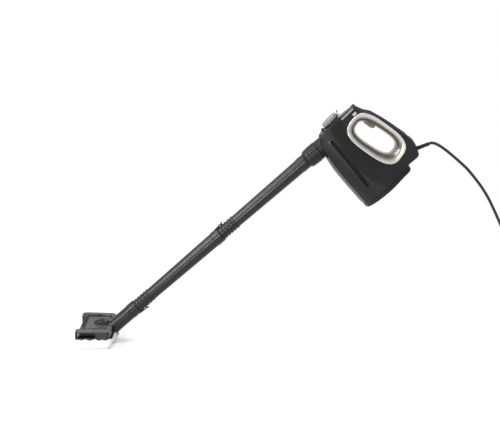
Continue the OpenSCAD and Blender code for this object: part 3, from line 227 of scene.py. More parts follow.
def tube(name: str, path: Array, radius: float, sides: int = 16) -> Piece:
    """Round tube along a path in metres, both ends closed; each ring turns by the least twist."""
    way = np.gradient(path, axis=0)
    way /= np.linalg.norm(way, axis=1)[:, None]
    side = np.empty_like(way)
    side[0] = np.cross(way[0], [0.02, 1.0, 0.03])
    side[0] /= np.linalg.norm(side[0])
    for k in range(1, len(way)):
        s = side[k - 1] - way[k] * (side[k - 1] @ way[k])
        side[k] = s / np.linalg.norm(s)
    up = np.cross(way, side)
    a = np.linspace(0, 2 * np.pi, sides, endpoint=False)[None, :, None]
    rings = path[:, None] + radius * (np.cos(a) * side[:, None] + np.sin(a) * up[:, None])
    ends = np.stack([np.repeat(path[:1], sides, 0), np.repeat(path[-1:], sides, 0)])
    rings = np.concatenate([ends[:1], rings, ends[1:]])
    return piece(name, rings, grid_faces(len(rings), sides, False, True))


def prism(name: str, outline: Array, low: float, high: float, place, edge: float = 0.6) -> Piece:
    """Flat outline (x, z) carried across y from low to high, with rounded edges, then placed."""
    n = len(outline)
    points = place(np.stack([np.insert(outline, 1, y, axis=1) for y in (low, high)]))
    faces = grid_faces(2, n, False, True).tolist() + [list(range(n)), list(range(n, 2 * n))]
    return settle(piece(name, points, faces), edge=edge, segments=3)


def softened(frame: dict, node: str, edge: float, segments: int) -> Piece:
    """Copy of a CAD node with its sharp edges rounded, standing for that node."""
    mesh = frame["nodes"][node].data.copy()
    mesh.materials.clear()
    obj = bpy.data.objects.new(f"{node}_dressed", mesh)
    bpy.context.scene.collection.objects.link(obj)
    bm = bmesh.new()
    bm.from_mesh(mesh)
    bmesh.ops.remove_doubles(bm, verts=bm.verts, dist=MERGE)
    bmesh.ops.dissolve_limit(bm, angle_limit=math.radians(0.8), verts=bm.verts, edges=bm.edges)
    bm.to_mesh(mesh)
    bm.free()
    mesh.shade_smooth()
    mesh.set_sharp_from_angle(angle=math.radians(30))
    settle(obj, edge=edge, segments=segments, limit=35.0)
    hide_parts(node)
    return obj


def corners(obj: Piece) -> Array:
    """Corner places of a piece, in metres."""
    co = np.empty(len(obj.data.vertices) * 3)
    obj.data.vertices.foreach_get("co", co)
    return co.reshape(-1, 3)


def moved(obj: Piece, change) -> Piece:
    """Puts a piece's corners through a change from places in metres to places in metres."""
    obj.data.vertices.foreach_set("co", change(corners(obj)).ravel())
    obj.data.update()
    return obj


def narrowed(co: Array) -> Array:
    """Points drawn in about their middle by 0.82 in x and z."""
    return co.mean(0) + (co - co.mean(0)) * [0.82, 1.0, 0.82]


# ---- Finishes ----


class Pattern(Enum):
    """Surface detail that a finish carries."""

    MOULDED = "moulded"
    BRUSHED = "brushed"
    CAST = "cast"
    RUBBER = "rubber"
    TERRY = "terry"


@dataclass(frozen=True)
class Finish:
    """How one material slot looks. Colours are linear; grain is per metre and depth in mm."""

    colour: tuple[float, float, float]
    rough: float
    pattern: Pattern = Pattern.MOULDED
    metal: float = 0.0
    specular: float = 0.25
    mottle: float = 0.1
    spread: float = 0.06
    grain: float = 1500.0
    depth: float = 0.012
    coat: float = 0.0
    sheen: float = 0.0
    glow: float = 0.0
    # Painted shade: the dark colour that a trim's band of painted shade and painted reflection mixes in
    inner: tuple[float, float, float] | None = None


FINISHES: dict[str, Finish] = {
    "body_plastic": Finish((0.0100, 0.0098, 0.0102), 0.44, grain=1900, depth=0.001),
    "panel_plastic": Finish((0.030, 0.030, 0.031), 0.38, grain=1900, depth=0.002, specular=0.4),
    "dark_plastic": Finish((0.0075, 0.0075, 0.008), 0.36, grain=1700, depth=0.002, specular=0.3),
    "base_plastic": Finish((0.0085, 0.0085, 0.009), 0.44, grain=1300, depth=0.004),
    "grip_rubber": Finish((0.007, 0.007, 0.0075), 0.60, Pattern.RUBBER, grain=900, depth=0.004,
                          specular=0.16),
    # The bright trim's inner colour is painted shade and painted reflection, darkest part way into the
    # opening
    "bright_trim": Finish((0.60, 0.58, 0.53), 0.22, metal=0.5, mottle=0.0, spread=0.02, grain=400,
                          depth=0.0002, coat=0.4, specular=0.5, inner=(0.13, 0.118, 0.092)),
    "silver_bar": Finish((0.26, 0.263, 0.265), 0.36, Pattern.BRUSHED, metal=0.9, mottle=0.0, spread=0.03,
                         grain=500, depth=0.0005),
    "lens": Finish((0.62, 0.62, 0.61), 0.3, mottle=0.0, spread=0.02, grain=700, depth=0.0005, coat=0.3),
    "lamp_glow": Finish((0.75, 0.30, 0.08), 0.30, mottle=0.05, grain=900, depth=0.003, glow=0.4),
    "alloy": Finish((0.55, 0.56, 0.58), 0.46, Pattern.CAST, metal=0.95, mottle=0.1, grain=1100, depth=0.05),
    "silicone": Finish((0.36, 0.06, 0.035), 0.55, Pattern.RUBBER, mottle=0.08, grain=900, depth=0.02),
    "steel": Finish((0.58, 0.59, 0.61), 0.26, Pattern.BRUSHED, metal=1.0, mottle=0.06, grain=2600,
                    depth=0.005),
    "heater": Finish((0.20, 0.15, 0.11), 0.50, Pattern.CAST, metal=0.7, mottle=0.25, grain=900, depth=0.03),
    "ceramic": Finish((0.70, 0.67, 0.60), 0.55, Pattern.CAST, mottle=0.05, grain=1600, depth=0.012),
    "copper": Finish((0.60, 0.28, 0.15), 0.30, Pattern.BRUSHED, metal=1.0, mottle=0.18, grain=1500,
                     depth=0.006),
    "brass": Finish((0.62, 0.44, 0.18), 0.32, Pattern.BRUSHED, metal=1.0, mottle=0.12, grain=1700,
                    depth=0.006),
    "seal_rubber": Finish((0.010, 0.010, 0.011), 0.60, Pattern.RUBBER, grain=1100, depth=0.02),
    "cord_rubber": Finish((0.009, 0.009, 0.010), 0.40, Pattern.RUBBER, mottle=0.12, grain=700, depth=0.03,
                          specular=0.4),
    "tie_plastic": Finish((0.60, 0.59, 0.55), 0.45, mottle=0.05, grain=1500, depth=0.01),
    "plug_plastic": Finish((0.014, 0.014, 0.015), 0.38, grain=1500, depth=0.012, specular=0.4),
    "tube_plastic": Finish((0.008, 0.008, 0.0085), 0.27, grain=1200, depth=0.0008, specular=0.36),
    "silver_cap": Finish((0.27, 0.27, 0.265), 0.34, Pattern.BRUSHED, metal=0.8, mottle=0.0, spread=0.03,
                         grain=400, depth=0.0003),
    "head_plastic": Finish((0.022, 0.022, 0.023), 0.42, grain=1700, depth=0.003, specular=0.4),
    "cloth": Finish((0.93, 0.93, 0.92), 0.95, Pattern.TERRY, mottle=0.02, grain=520, depth=0.25, sheen=0.4),
    "trigger_plastic": Finish((0.17, 0.155, 0.13), 0.50, mottle=0.0, grain=900, depth=0.001, specular=0.4),
    "black_steel": Finish((0.012, 0.012, 0.013), 0.45, grain=1500, depth=0.003, metal=0.3),
    "clamp_plastic": Finish((0.016, 0.016, 0.017), 0.38, grain=1700, depth=0.003, specular=0.4),
}


def wire(tree: bpy.types.NodeTree, node: bpy.types.Node, inputs: dict) -> bpy.types.Node:
    """Fills a node's inputs: a socket is linked to them, and any other value is written in."""
    for key, value in inputs.items():
        if isinstance(value, bpy.types.NodeSocket):
            tree.links.new(value, node.inputs[key])
        else:
            node.inputs[key].default_value = value
    return node


def add(tree: bpy.types.NodeTree, kind: str, inputs: dict, **settings) -> bpy.types.Node:
    """Adds a shader node of a kind, with its settings and then its inputs."""
    node = tree.nodes.new(f"ShaderNode{kind}")
    for key, value in settings.items():
        setattr(node, key, value)
    return wire(tree, node, inputs)


class Shader:
    """Builds one node material from a finish."""

    def __init__(self, name: str, finish: Finish) -> None:
        """Starts a material of that name."""
        self.finish = finish
        self.material = bpy.data.materials.new(name)
        self.material.use_nodes = True
        self.tree = self.material.node_tree
        self.place = add(self.tree, "TexCoord", {}).outputs["Object"]

    def noise(self, scale: float, detail: float = 3.0, stretch: tuple[float, ...] | None = None):
        """Noise on the piece's own place, in features per metre and octaves, stretched if brushed."""
        place = self.place
        if stretch:
            turned = {"Scale": stretch, "Rotation": (0, LEAN, 0), "Vector": place}
            place = add(self.tree, "Mapping", turned).outputs["Vector"]
        return add(self.tree, "TexNoise", {"Scale": scale, "Detail": detail, "Vector": place}).outputs["Fac"]

    def spread(self, value, low: float, high: float, start: float = 0.3, end: float = 0.7):
        """Maps a value socket from start..end to low..high, held at both ends."""
        inputs = {"From Min": start, "From Max": end, "To Min": low, "To Max": high, "Value": value}
        return add(self.tree, "MapRange", inputs).outputs["Result"]

    def mix(self, share, first, second):
        """Mixes two colours, each a socket or a tuple, by a share socket."""
        colours = [(*colour, 1.0) if isinstance(colour, tuple) else colour for colour in (first, second)]
        inputs = {"Factor": share, 6: colours[0], 7: colours[1]}
        return add(self.tree, "Mix", inputs, data_type="RGBA").outputs[2]

    def bump(self, height, depth: float, under=None):
        """Bump of a height socket, depth mm high, over another bump if given."""
        inputs = {"Strength": 1.0, "Distance": depth * MM, "Height": height}
        if under is not None:
            inputs["Normal"] = under
        return add(self.tree, "Bump", inputs).outputs["Normal"]

    def cells(self, scale: float):
        """Rounded cells, for terry loops and rubber stipple."""
        inputs = {"Scale": scale, "Smoothness": 0.6, "Vector": self.place}
        return add(self.tree, "TexVoronoi", inputs, feature="SMOOTH_F1").outputs["Distance"]

    def shade_band(self, colour):
        """Paints shade and a dark reflection into a colour: deepens it towards a trim's opening by the
        surface's shade band value, then pales it a little at the opening's edge.
        """
        value = add(self.tree, "Attribute", {}, attribute_name="shade_band").outputs["Fac"]
        # Painted shade and painted reflection: inner is the full shade and middle is half of it; darkest part
        # way in, half shade again at the opening's edge
        inner = self.finish.inner
        middle = tuple(0.5 * a + 0.5 * b for a, b in zip(inner, self.finish.colour))
        for start, end, painted_shade in ((0.20, 0.38, middle), (0.38, 0.54, inner), (0.72, 0.94, middle)):
            colour = self.mix(self.spread(value, 0, 1, start, end), colour, painted_shade)
        return colour

    def build(self) -> bpy.types.Material:
        """Wires colour, roughness and relief, and returns the material."""
        f = self.finish
        dark = tuple(c * (1 - f.mottle) for c in f.colour)
        light = tuple(min(1.0, c * (1 + f.mottle)) for c in f.colour)
        colour = self.mix(self.spread(self.noise(34, 4), 0, 1), dark, light)
        rough = self.noise(85, 5)
        if f.pattern is Pattern.TERRY:
            loops = self.cells(f.grain)
            relief = self.bump(loops, f.depth, self.bump(self.noise(90, 4), 1.6))
            colour = self.mix(self.spread(loops, 0, 1, 0.35, 0.9), colour, tuple(c * 0.80 for c in f.colour))
        elif f.pattern is Pattern.RUBBER:
            relief = self.bump(self.cells(f.grain), f.depth, self.bump(self.noise(40, 2), f.depth * 2))
        elif f.pattern is Pattern.BRUSHED:
            relief = self.bump(self.noise(f.grain, 4, (0.06, 1, 1)), f.depth)
            rough = self.noise(f.grain * 0.4, 4, (0.05, 1, 1))
        elif f.pattern is Pattern.CAST:
            relief = self.bump(self.noise(f.grain, 6), f.depth, self.bump(self.cells(f.grain * 0.3), f.depth))
        else:
            fine = self.bump(self.noise(f.grain, 5), f.depth)
            relief = self.bump(self.noise(26, 1), 0.03 if f.mottle else 0.005, fine)
            if f.mottle:
                scuff = self.spread(self.noise(160, 6), 0, 1, 0.62, 0.72)
                colour = self.mix(scuff, colour, tuple(min(1.0, c * 1.18 + 0.001) for c in f.colour))
        # painted shade and painted reflection across a trim
        if f.inner:
            colour = self.shade_band(colour)
        rough = self.spread(rough, f.rough - f.spread, f.rough + f.spread)
        inputs = {"Base Color": colour, "Roughness": rough, "Normal": relief, "Metallic": f.metal,
                  "Coat Weight": f.coat, "Coat Roughness": 0.3, "Sheen Weight": f.sheen,
                  "Emission Strength": f.glow, "Specular IOR Level": f.specular}
        if f.glow:
            inputs["Emission Color"] = (*f.colour, 1.0)
        wire(self.tree, self.tree.nodes["Principled BSDF"], inputs)
        return self.material


@dataclass
class Paints:
    """Every finish made once, by slot name, and the CAD's frame."""

    frame: dict
    made: dict[str, bpy.types.Material] = field(default_factory=dict)

    def get(self, slot: str) -> bpy.types.Material:
        """The material of a slot."""
        if slot not in self.made:
            self.made[slot] = Shader(slot, FINISHES[slot]).build()
        return self.made[slot]

    def dress(self, obj: Piece, slot: str, body: str, *nodes: str) -> Piece:
        """Gives a new piece its slot's finish, its body and the CAD nodes that it stands for."""
        obj.data.materials.clear()
        obj.data.materials.append(self.get(slot))
        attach(obj, body)
        if nodes:
            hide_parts(*nodes)
        LOG.info("%s: %d faces, rides on %s", obj.name, len(obj.data.polygons), body)
        return obj

    def soften(self, node: str, slot: str, body: str, edge: float, segments: int) -> Piece:
        """Dresses a CAD node's softened copy."""
        return self.dress(softened(self.frame, node, edge, segments), slot, body)


# ---- Studio ----

# Name, place in metres, side in metres and power in watts
LAMPS = [
    ("key", (-2.55, -1.85, 1.32), 1.1, 48), ("front", (-0.9, -2.7, -0.05), 0.7, 20),
    ("side", (-2.2, -0.2, 1.5), 0.8, 14), ("top", (-0.2, 0.7, 2.4), 1.3, 26),
]
AIM = (-0.3, 0, -0.2)


@dataclass
class Studio:
    """Camera, floor and soft light round the object."""

    lens: float = 105.0
    camera_at: tuple[float, float, float] = (-0.32239, -3.44683, 0.38889)
    looks_down: float = 10.0
    floor_half: float = 9.0
    floor_lift: float = 0.36
    fill: float = 0.40
    pale_from: float = 1.0
    pale_to: float = 2.2

    def camera(self) -> None:
        """Puts the camera at the viewing angle."""
        data = bpy.data.cameras.new("camera")
        data.lens, data.sensor_width, data.clip_end = self.lens, 36.0, 200.0
        obj = bpy.data.objects.new("camera", data)
        obj.location = self.camera_at
        obj.rotation_euler = (math.radians(90 - self.looks_down), 0, 0)
        bpy.context.scene.collection.objects.link(obj)
        bpy.context.scene.camera = obj
        bpy.context.scene.view_settings.view_transform = "Standard"

    def seen(self, tree: bpy.types.NodeTree):
        """1 for camera, glossy and transmission rays, else 0."""
        rays = add(tree, "LightPath", {}).outputs
        value = rays["Is Camera Ray"]
        for name in ("Is Glossy Ray", "Is Transmission Ray"):
            value = add(tree, "Math", {0: value, 1: rays[name]}, operation="MAXIMUM").outputs[0]
        return value

    def world(self) -> None:
        """Pale surroundings: plain fill light, and white where they are seen."""
        world = bpy.data.worlds.new("surroundings")
        bpy.context.scene.world = world
        world.use_nodes = True
        tree = world.node_tree
        fill = wire(tree, tree.nodes["Background"], {"Color": (0.96, 0.98, 1.0, 1.0), "Strength": self.fill})
        white = add(tree, "Background", {"Color": (1, 1, 1, 1), "Strength": 1.0})
        blend = add(tree, "MixShader", {0: self.seen(tree), 1: fill.outputs[0], 2: white.outputs[0]})
        wire(tree, tree.nodes["World Output"], {0: blend.outputs[0]})

    def floor(self) -> None:
        """Plain pale floor at the object's underside; it keeps the shadow, and is plain white far away."""
        side = np.linspace(-self.floor_half, self.floor_half, 13)
        x, y = np.meshgrid(side, side, indexing="ij")
        z = np.full_like(x, FLOOR_Z * MM - 0.0003)
        floor = piece("floor", np.stack([x, y, z], -1), grid_faces(13, 13), np.array([0, 0, 5.0]))
        mat = bpy.data.materials.new("floor")
        mat.use_nodes = True
        tree = mat.node_tree
        seen = self.seen(tree)
        lift = add(tree, "Math", {0: seen, 1: self.floor_lift}, operation="MULTIPLY").outputs[0]
        shader = wire(tree, tree.nodes["Principled BSDF"], {
            "Base Color": (0.88, 0.88, 0.88, 1), "Roughness": 0.85, "Specular IOR Level": 0.15,
            "Emission Color": (1, 1, 1, 1), "Emission Strength": lift})
        place = add(tree, "TexCoord", {}).outputs["Object"]
        distance = add(tree, "VectorMath", {0: place}, operation="LENGTH").outputs["Value"]
        reach = {"From Min": self.pale_from, "From Max": self.pale_to, "Value": distance}
        far = add(tree, "MapRange", reach, interpolation_type="SMOOTHSTEP").outputs["Result"]
        share = add(tree, "Math", {0: far, 1: seen}, operation="MULTIPLY").outputs[0]
        pale = add(tree, "Emission", {}).outputs[0]
        blend = add(tree, "MixShader", {0: share, 1: shader.outputs[0], 2: pale})
        wire(tree, tree.nodes["Material Output"], {"Surface": blend.outputs[0]})
        floor.data.materials.append(mat)

    def lamp(self, name: str, place: tuple[float, float, float], size: float, power: float) -> None:
        """One square soft box that faces the object's middle."""
        data = bpy.data.lights.new(name, "AREA")
        data.size, data.energy = size, power
        obj = bpy.data.objects.new(name, data)
        obj.location, obj.visible_camera = place, False
        obj.rotation_euler = (Vector(AIM) - Vector(place)).to_track_quat("-Z", "Y").to_euler()
        bpy.context.scene.collection.objects.link(obj)

    def build(self) -> None:
        """Camera, world, floor and lamps."""
        self.camera()
        self.world()
        self.floor()
        for name, place, size, power in LAMPS:
            self.lamp(name, place, size, power)


# ---- Mains lead ----


@dataclass
class Lead:
    """Round lead: relief, free run, put-away coil, tie and plug."""

    diameter: float = 7.0
    coil_r: float = 34.0
    turns: int = 2
    step: float = 7.7
    layers: int = 4
    tie_t: float = 1.2
    relief_l: float = 38.0

    def __post_init__(self) -> None:
        """Works out where the relief, the coil and the plug lie."""
        slope = math.radians(-20)
        tip = np.array([170 + self.relief_l * math.cos(slope), 0, -147.5 + self.relief_l * math.sin(slope)])
        self.tip = wand(tip) / MM
        self.way = np.array([math.cos(LEAN + slope), 0, math.sin(LEAN + slope)])
        self.coil_out = self.coil_r + self.turns * self.step
        self.coil_at = np.array([520, 0, FLOOR_Z + self.tie_t + self.diameter / 2])
        self.start = self.coil_at + [0, -self.coil_out, 0]
        self.total = self.layers * self.turns + (self.layers - 1) * 0.5
        self.end = self.coil(np.array([self.total]))[0]
        self.plug_z = FLOOR_Z + 11

    def coil(self, t: Array) -> Array:
        """Places on the coil after t turns.

        Each layer spirals in or out at a steady rate for its turns, then climbs one step in half a turn:
        r = outer - step q inward, inner + step q outward, bulging 2 sin(pi climb) there.
        """
        span = self.turns + 0.5
        layer = np.minimum(self.layers - 1, np.floor(t / span))
        q = t - layer * span
        inward = layer % 2 == 0
        climb = np.maximum(0, q - self.turns) * 2
        across = self.step * np.minimum(q, self.turns)
        r = np.where(inward, self.coil_out - across, self.coil_r + across)
        r = r + np.where(inward, -2, 2) * np.sin(np.pi * climb)
        a = np.radians(-90 + 360 * t)
        return self.coil_at + np.stack([r * np.cos(a), r * np.sin(a), self.step * (layer + climb)], -1)

    def route(self) -> Array:
        """Centre line from the relief to the plug, in mm."""
        s = self.start
        run = np.array([
            self.tip, self.tip + 3.5 * self.way, self.tip + 7 * self.way, [119, 0, -40.6], [131, 0, -47],
            [141, 0, -54], [151, 0, -61.5], [175, 0, -82], [202, 0, -108], [240, 0, -158], [272, 0, -220],
            [306, -2, -300], [342, -8, -380], [385, -18, -450], [435, -32, -498],
            [472, -self.coil_out + 7, s[2] + 7], s - [21, 0, 0], s - [14, 0, 0], s - [7.05, 0, 0]])
        e, z = self.end, self.plug_z
        tail = np.array([
            e, e + [-7, 0, 0], e + [-28, 4, -6], e + [-50, 10, -14], [e[0] - 64, e[1] + 12, z],
            [e[0] - 71, e[1] + 12, z], [e[0] - 78, e[1] + 12, z]])
        wound = self.coil(np.linspace(0, self.total, int(self.total * 72), endpoint=False))
        return np.vstack([catmull(run, 10), wound, catmull(tail, 8)])

    def relief(self, paints: Paints) -> Piece:
        """Tapered bend relief with shallow rings, about the lead's way out."""
        rings = []
        for k in range(7):
            x, r = 9 + 3.6 * k, 5.4 - 1.1 * (9 + 3.6 * k) / 37
            rings += [[r, x], [r - 0.7, x + 0.3], [r - 0.7, x + 1.3], [r - 0.1, x + 1.6]]
        end = self.relief_l
        profile = [[0, 0], [6.6, 0], [6.6, 2], [5.4, 2.6], *rings,
                   [4.3, end - 3], [4.9, end - 2.6], [4.9, end - 0.4], [4.4, end], [0, end]]
        foot = self.tip * MM - self.way * end * MM
        obj = lathe("strain_relief_dressed", rounded(profile, 0.3, 3), foot, self.way, 48)
        return paints.dress(obj, "seal_rubber", "body", "strain_relief")

    def build(self, paints: Paints) -> None:
        relief = self.relief(paints)
        path = self.route() * MM
        cord = tube("mains_lead", path, self.diameter / 2 * MM)
        paints.dress(cord, "cord_rubber", "body", "cord_run", "cord_coil")
        tie = paints.soften("cord_tie", "tie_plastic", "body", 0.4, 2)
        plug = paints.soften("plug_body", "plug_plastic", "body", 2.4, 4)
        pins = paints.soften("plug_pins", "brass", "body", 0.5, 2)


# ---- Boiler unit ----

OPEN = 99.0
BOTTOM = -167.0
SPLIT = 0.15
SEAM = 0.3
SHARP_RIM = 1.5
HALF_HANDLE = 21.0
OPENING_AT = np.array([121.0, -66.0])
# Half width, height above and below the middle, and slant in degrees
TRIM = (41.4, 73.2, 75.2, 13.6)
OPENING = (21.5, 54.0, 49.0, 16.0)
# Rows of up against place or width: front edge, side's front edge, widest place, end of the blend behind it,
# greatest half width
FRONT = [(-179, -2), (-165, -4), (-150, -5), (-90, -5), (-60, -4), (-40, -2), (-24, 1), (30, 4)]
SIDE_FRONT = FRONT[:5] + [(-40, -3), (-20, -7), (0, -18), (30, -18)]
WIDE_AT = [(-179, 62), (-167, 62), (-120, 45), (-80, 38), (-35, 38), (30, 50)]
BLEND_TO = [(-179, 150), (-167, 150), (-145, 128), (-120, 102), (-80, 90), (-35, 84), (30, 90)]
TANK_W = [(-179, 60), (-167, 60), (-120, 57), (-80, 52), (-35, 43), (0, 35), (30, 28)]
SIDES = {-1: "left", 1: "right"}
# Rim of a side shell as rows of along, up, half width and rounding: up the front, over the top, down the back
# and along the bottom
RIM = [
    (6, -167, OPEN, 1), *[(5, up, OPEN, 1) for up in (-150, -125, -100, -78)], (6, -55, OPEN, 1),
    (7, -38, OPEN, 1), (7.5, -24, OPEN, 1), (8, -14, 25.5, 5), (9, -2, 24.2, 6), (12, 9, 24.2, 7),
    (17, 18.5, 24.2, 8), (27, 25.5, 24, 8), (45, 27, 23.5, 6), (60, 27.2, 23, 6), (75, 27.2, 19.8, 5),
    (90, 27.2, 17.6, 5), (103, 27, 16.8, 5), (115, 27, 15.8, 5), (125, 28.2, 15, 5), (131.4, 28.6, 14, 4),
    (135, 18.5, 13, 5), (138, 8, 13, 6), (143, 0, 13, 6), (150, -9, 13, 6), (155, -22, 13, 6),
    (162, -42, 13, 6), (168, -62, 13, 6), (173, -82, 13, 6), (178, -101, 13, 6), (180.5, -111, 13, 6),
    (182.5, -114, SPLIT, 10), (184.5, -126, SPLIT, 10), (183, -138, SPLIT, 10), (181, -147, SPLIT, 10),
    (176.5, -158, SPLIT, 8), (172, -165, SPLIT, 5), *[(along, BOTTOM, SPLIT, 4) for along in (164, 152, 140)],
    *[(along, BOTTOM, OPEN, 1) for along in (136, 124, 108, 90, 70, 50, 32, 18)],
]
FRONT_ROWS = 8
GRIP_ROWS = (21, 30)


def side_w(u: Array, v: Array) -> Array:
    """Half width of the body: b (1 - ((m-u)/(m-f))^2.2)^(1/2.2) ahead of its widest place m, then a half
    cosine from b down to the handle's half width at e."""
    f, m, e, b = (along_table(rows, v) for rows in (SIDE_FRONT, WIDE_AT, BLEND_TO, TANK_W))
    ahead = np.clip((m - u) / (m - f), 0, 1)
    behind = np.clip((u - m) / (e - m), 0, 1)
    nose = b * np.maximum(0.0001, 1 - ahead**2.2) ** (1 / 2.2)
    tail = HALF_HANDLE + (b - HALF_HANDLE) * (0.5 + 0.5 * np.cos(np.pi * behind))
    return np.where(u < m, nose, tail)


def leaning_radius(way: Array, half_w: float, half_h: float, low_h: float, slant: float) -> Array:
    """Radius of a leaning rounded outline: (|x/w|^3 + |y/h|^3)^(-1/3) in axes turned by the slant, where h
    is another one below the middle."""
    c, s = math.cos(math.radians(slant)), math.sin(math.radians(slant))
    x, y = way[..., 0] * c + way[..., 1] * s, way[..., 1] * c - way[..., 0] * s
    return (np.abs(x / half_w) ** 3 + np.abs(y / np.where(y < 0, low_h, half_h)) ** 3) ** (-1 / 3)


def trim_radius(way: Array) -> Array:
    """Outer radius of the opening's trim in each direction."""
    return leaning_radius(way, *TRIM)


def opening_radius(way: Array) -> Array:
    """Radius of the hand opening in each direction."""
    return leaning_radius(way, *OPENING)


def rim_samples(per: int) -> Array:
    """The shells' rim as smooth samples of along, up, half width and rounding."""
    rows = np.array(RIM, float)
    free = rows[:, 2] == OPEN
    rows[free, 2] = side_w(rows[free, 0], rows[free, 1])
    return monotone(rows, per)


@dataclass
class BoilerUnit:
    """Side shells, front panel, covers, hand grip, opening trims and small trim of the boiler unit."""

    per: int = 7
    near_steps: int = 34
    groove_steps: int = 46
    far_steps: int = 34
    inner_steps: int = 26
    trim_steps: int = 44
    wall: float = 2.5
    trim_proud: float = 2.6
    groove_from: tuple[float, float] = (37.8, -3.0)
    groove_to: tuple[float, float] = (35.8, -130.0)
    stud_at: tuple[float, float] = (31.9, 1.2)
    groove_depth: float = 4.2
    groove_zone: float = 10.0
    groove_reach: tuple[float, float] = (-148.0, 14.0)
    groove_wall: float = 1.2
    valley_depth: float = 2.2
    valley_w: float = 2.4
    panel_gap: float = 0.9
    strip_half: float = 12.7
    strip_sunk: float = 1.4
    screws: tuple[tuple[float, float], ...] = ((96.0, -153.0), (157.0, -138.0), (46.0, 12.0))

    def __post_init__(self) -> None:
        """Works out the rim and the ways out from the hand opening's middle."""
        self.rim = rim_samples(self.per)
        out = self.rim[:, :2] - OPENING_AT
        self.way = out / np.linalg.norm(out, axis=1)[:, None]
        self.trim_r = trim_radius(self.way)
        self.opening_r = opening_radius(self.way)
        self.stop = OPENING_AT + (self.trim_r + SEAM)[:, None] * self.way
        self.soft = self.rim[:, 3] > SHARP_RIM

    def groove(self, u: Array, v: Array) -> Array:
        """Depth of the side groove along one line: a flat floor, steep smooth walls and a small raised lip.

        Its half width grows from 3.4 to 4.4 mm on the way down; the lip is a bump 0.45 exp(-(d/0.9)^2) high
        on the front side, d being the distance from its crest, 0.8 mm past the half width.
        """
        a, b = np.array(self.groove_from), np.array(self.groove_to)
        line = b - a
        t = np.clip(((u - a[0]) * line[0] + (v - a[1]) * line[1]) / (line @ line), 0, 1)
        off = np.hypot(u - a[0] - t * line[0], v - a[1] - t * line[1])
        half = 3.4 + 1.0 * t
        front = (u - a[0]) * line[1] - (v - a[1]) * line[0] > 0
        lip = 0.45 * np.exp(-(((off - half - 0.8) / 0.9) ** 2)) * front * smooth_step(t / 0.3)
        return self.groove_depth * (1 - smooth_step((off - half + 0.9) / 1.1)) - lip

    def shares(self) -> Array:
        """Shares of the way from rim to trim for each row: many where the groove lies, fewer elsewhere.

        A row meets the groove's line at share q; rows that miss it take q from their neighbours. The points
        before q - z crowd at the rim as 1 - cos.
        """
        p, d = self.rim[:, :2], self.stop - self.rim[:, :2]
        a, b = np.array(self.groove_from), np.array(self.groove_to)
        line, (low, high) = b - a, self.groove_reach
        det = d[:, 0] * line[1] - d[:, 1] * line[0]
        q = ((a[0] - p[:, 0]) * line[1] - (a[1] - p[:, 1]) * line[0]) / np.where(np.abs(det) < 1e-6, 1.0, det)
        v = p[:, 1] + q * d[:, 1]
        zone = self.groove_zone / np.linalg.norm(d, axis=1)
        hits = (np.abs(det) > 1e-6) & (q > zone + 0.02) & (q < 0.98 - zone) & (v < high) & (v > low)
        where = np.flatnonzero(hits)
        index = np.arange(len(q))
        q = np.interp(index, where, q[where], period=len(q))
        zone = np.minimum(zone, np.minimum(q - 0.01, 0.99 - q))
        crowded = 1 - np.cos(np.pi / 2 * np.arange(self.near_steps) / self.near_steps)
        near = crowded[None] * (q - zone)[:, None]
        mid = (q - zone)[:, None] + 2 * zone[:, None] * np.arange(self.groove_steps)[None] / self.groove_steps
        far = (q + zone)[:, None] + (1 - q - zone)[:, None] * np.linspace(0, 1, self.far_steps)[None]
        return np.concatenate([near, mid, far], 1)

    def skin(self, share: Array, inset: float) -> Array:
        """Shell surface at shares of the way from rim to trim, rows round the rim, in wand mm with y > 0.

        The half width is e + (w - e) sqrt(1 - (1 - d/r)^2), with d the distance from the rim, e the rim's
        half width and r its rounding, less the groove and a valley along the front seam. An inset, the
        wall's thickness, draws it in, and behind the groove as far as the groove's floor needs."""
        start = self.rim[:, :2] - inset * self.way * self.soft[:, None]
        place = start[:, None] + (self.stop - start)[:, None] * share[..., None]
        u, v = place[..., 0], place[..., 1]
        w = side_w(u, v)
        e = np.minimum(w, self.rim[:, None, 2])
        d = np.linalg.norm(place - start[:, None], axis=2)
        off = np.clip(d / np.maximum(self.rim[:, None, 3] - inset, 1.0), 0, 1)
        y = e + (w - e) * np.sqrt(1 - (1 - off) ** 2) - inset
        groove = self.groove(u, v)
        if inset:
            y = np.minimum(y, y + inset - groove - self.groove_wall)
        else:
            open_rim = (~self.soft & (self.rim[:, 0] < 9))[:, None]
            valley = self.valley_depth * (1 - smooth_step(d / self.valley_w)) * open_rim
            y = y - groove - valley
        return np.stack([u, np.maximum(y, SPLIT + 0.4 * inset), v], -1)

    def shells(self, paints: Paints) -> None:
        """Both side shells: the outside, then the inside of the wall from the trim's edge back to the rim."""
        inner = np.tile(np.linspace(1, 0, self.inner_steps), (len(self.rim), 1))
        grid = np.concatenate([self.skin(self.shares(), 0.0), self.skin(inner, self.wall)], 1)
        for side, name in SIDES.items():
            points = wand(grid * [1, side, 1])
            obj = settle(piece(f"shell_{name}_dressed", points, grid_faces(*points.shape[:2], True, True)))
            paints.dress(obj, "body_plastic", "body", f"shell_{name}")

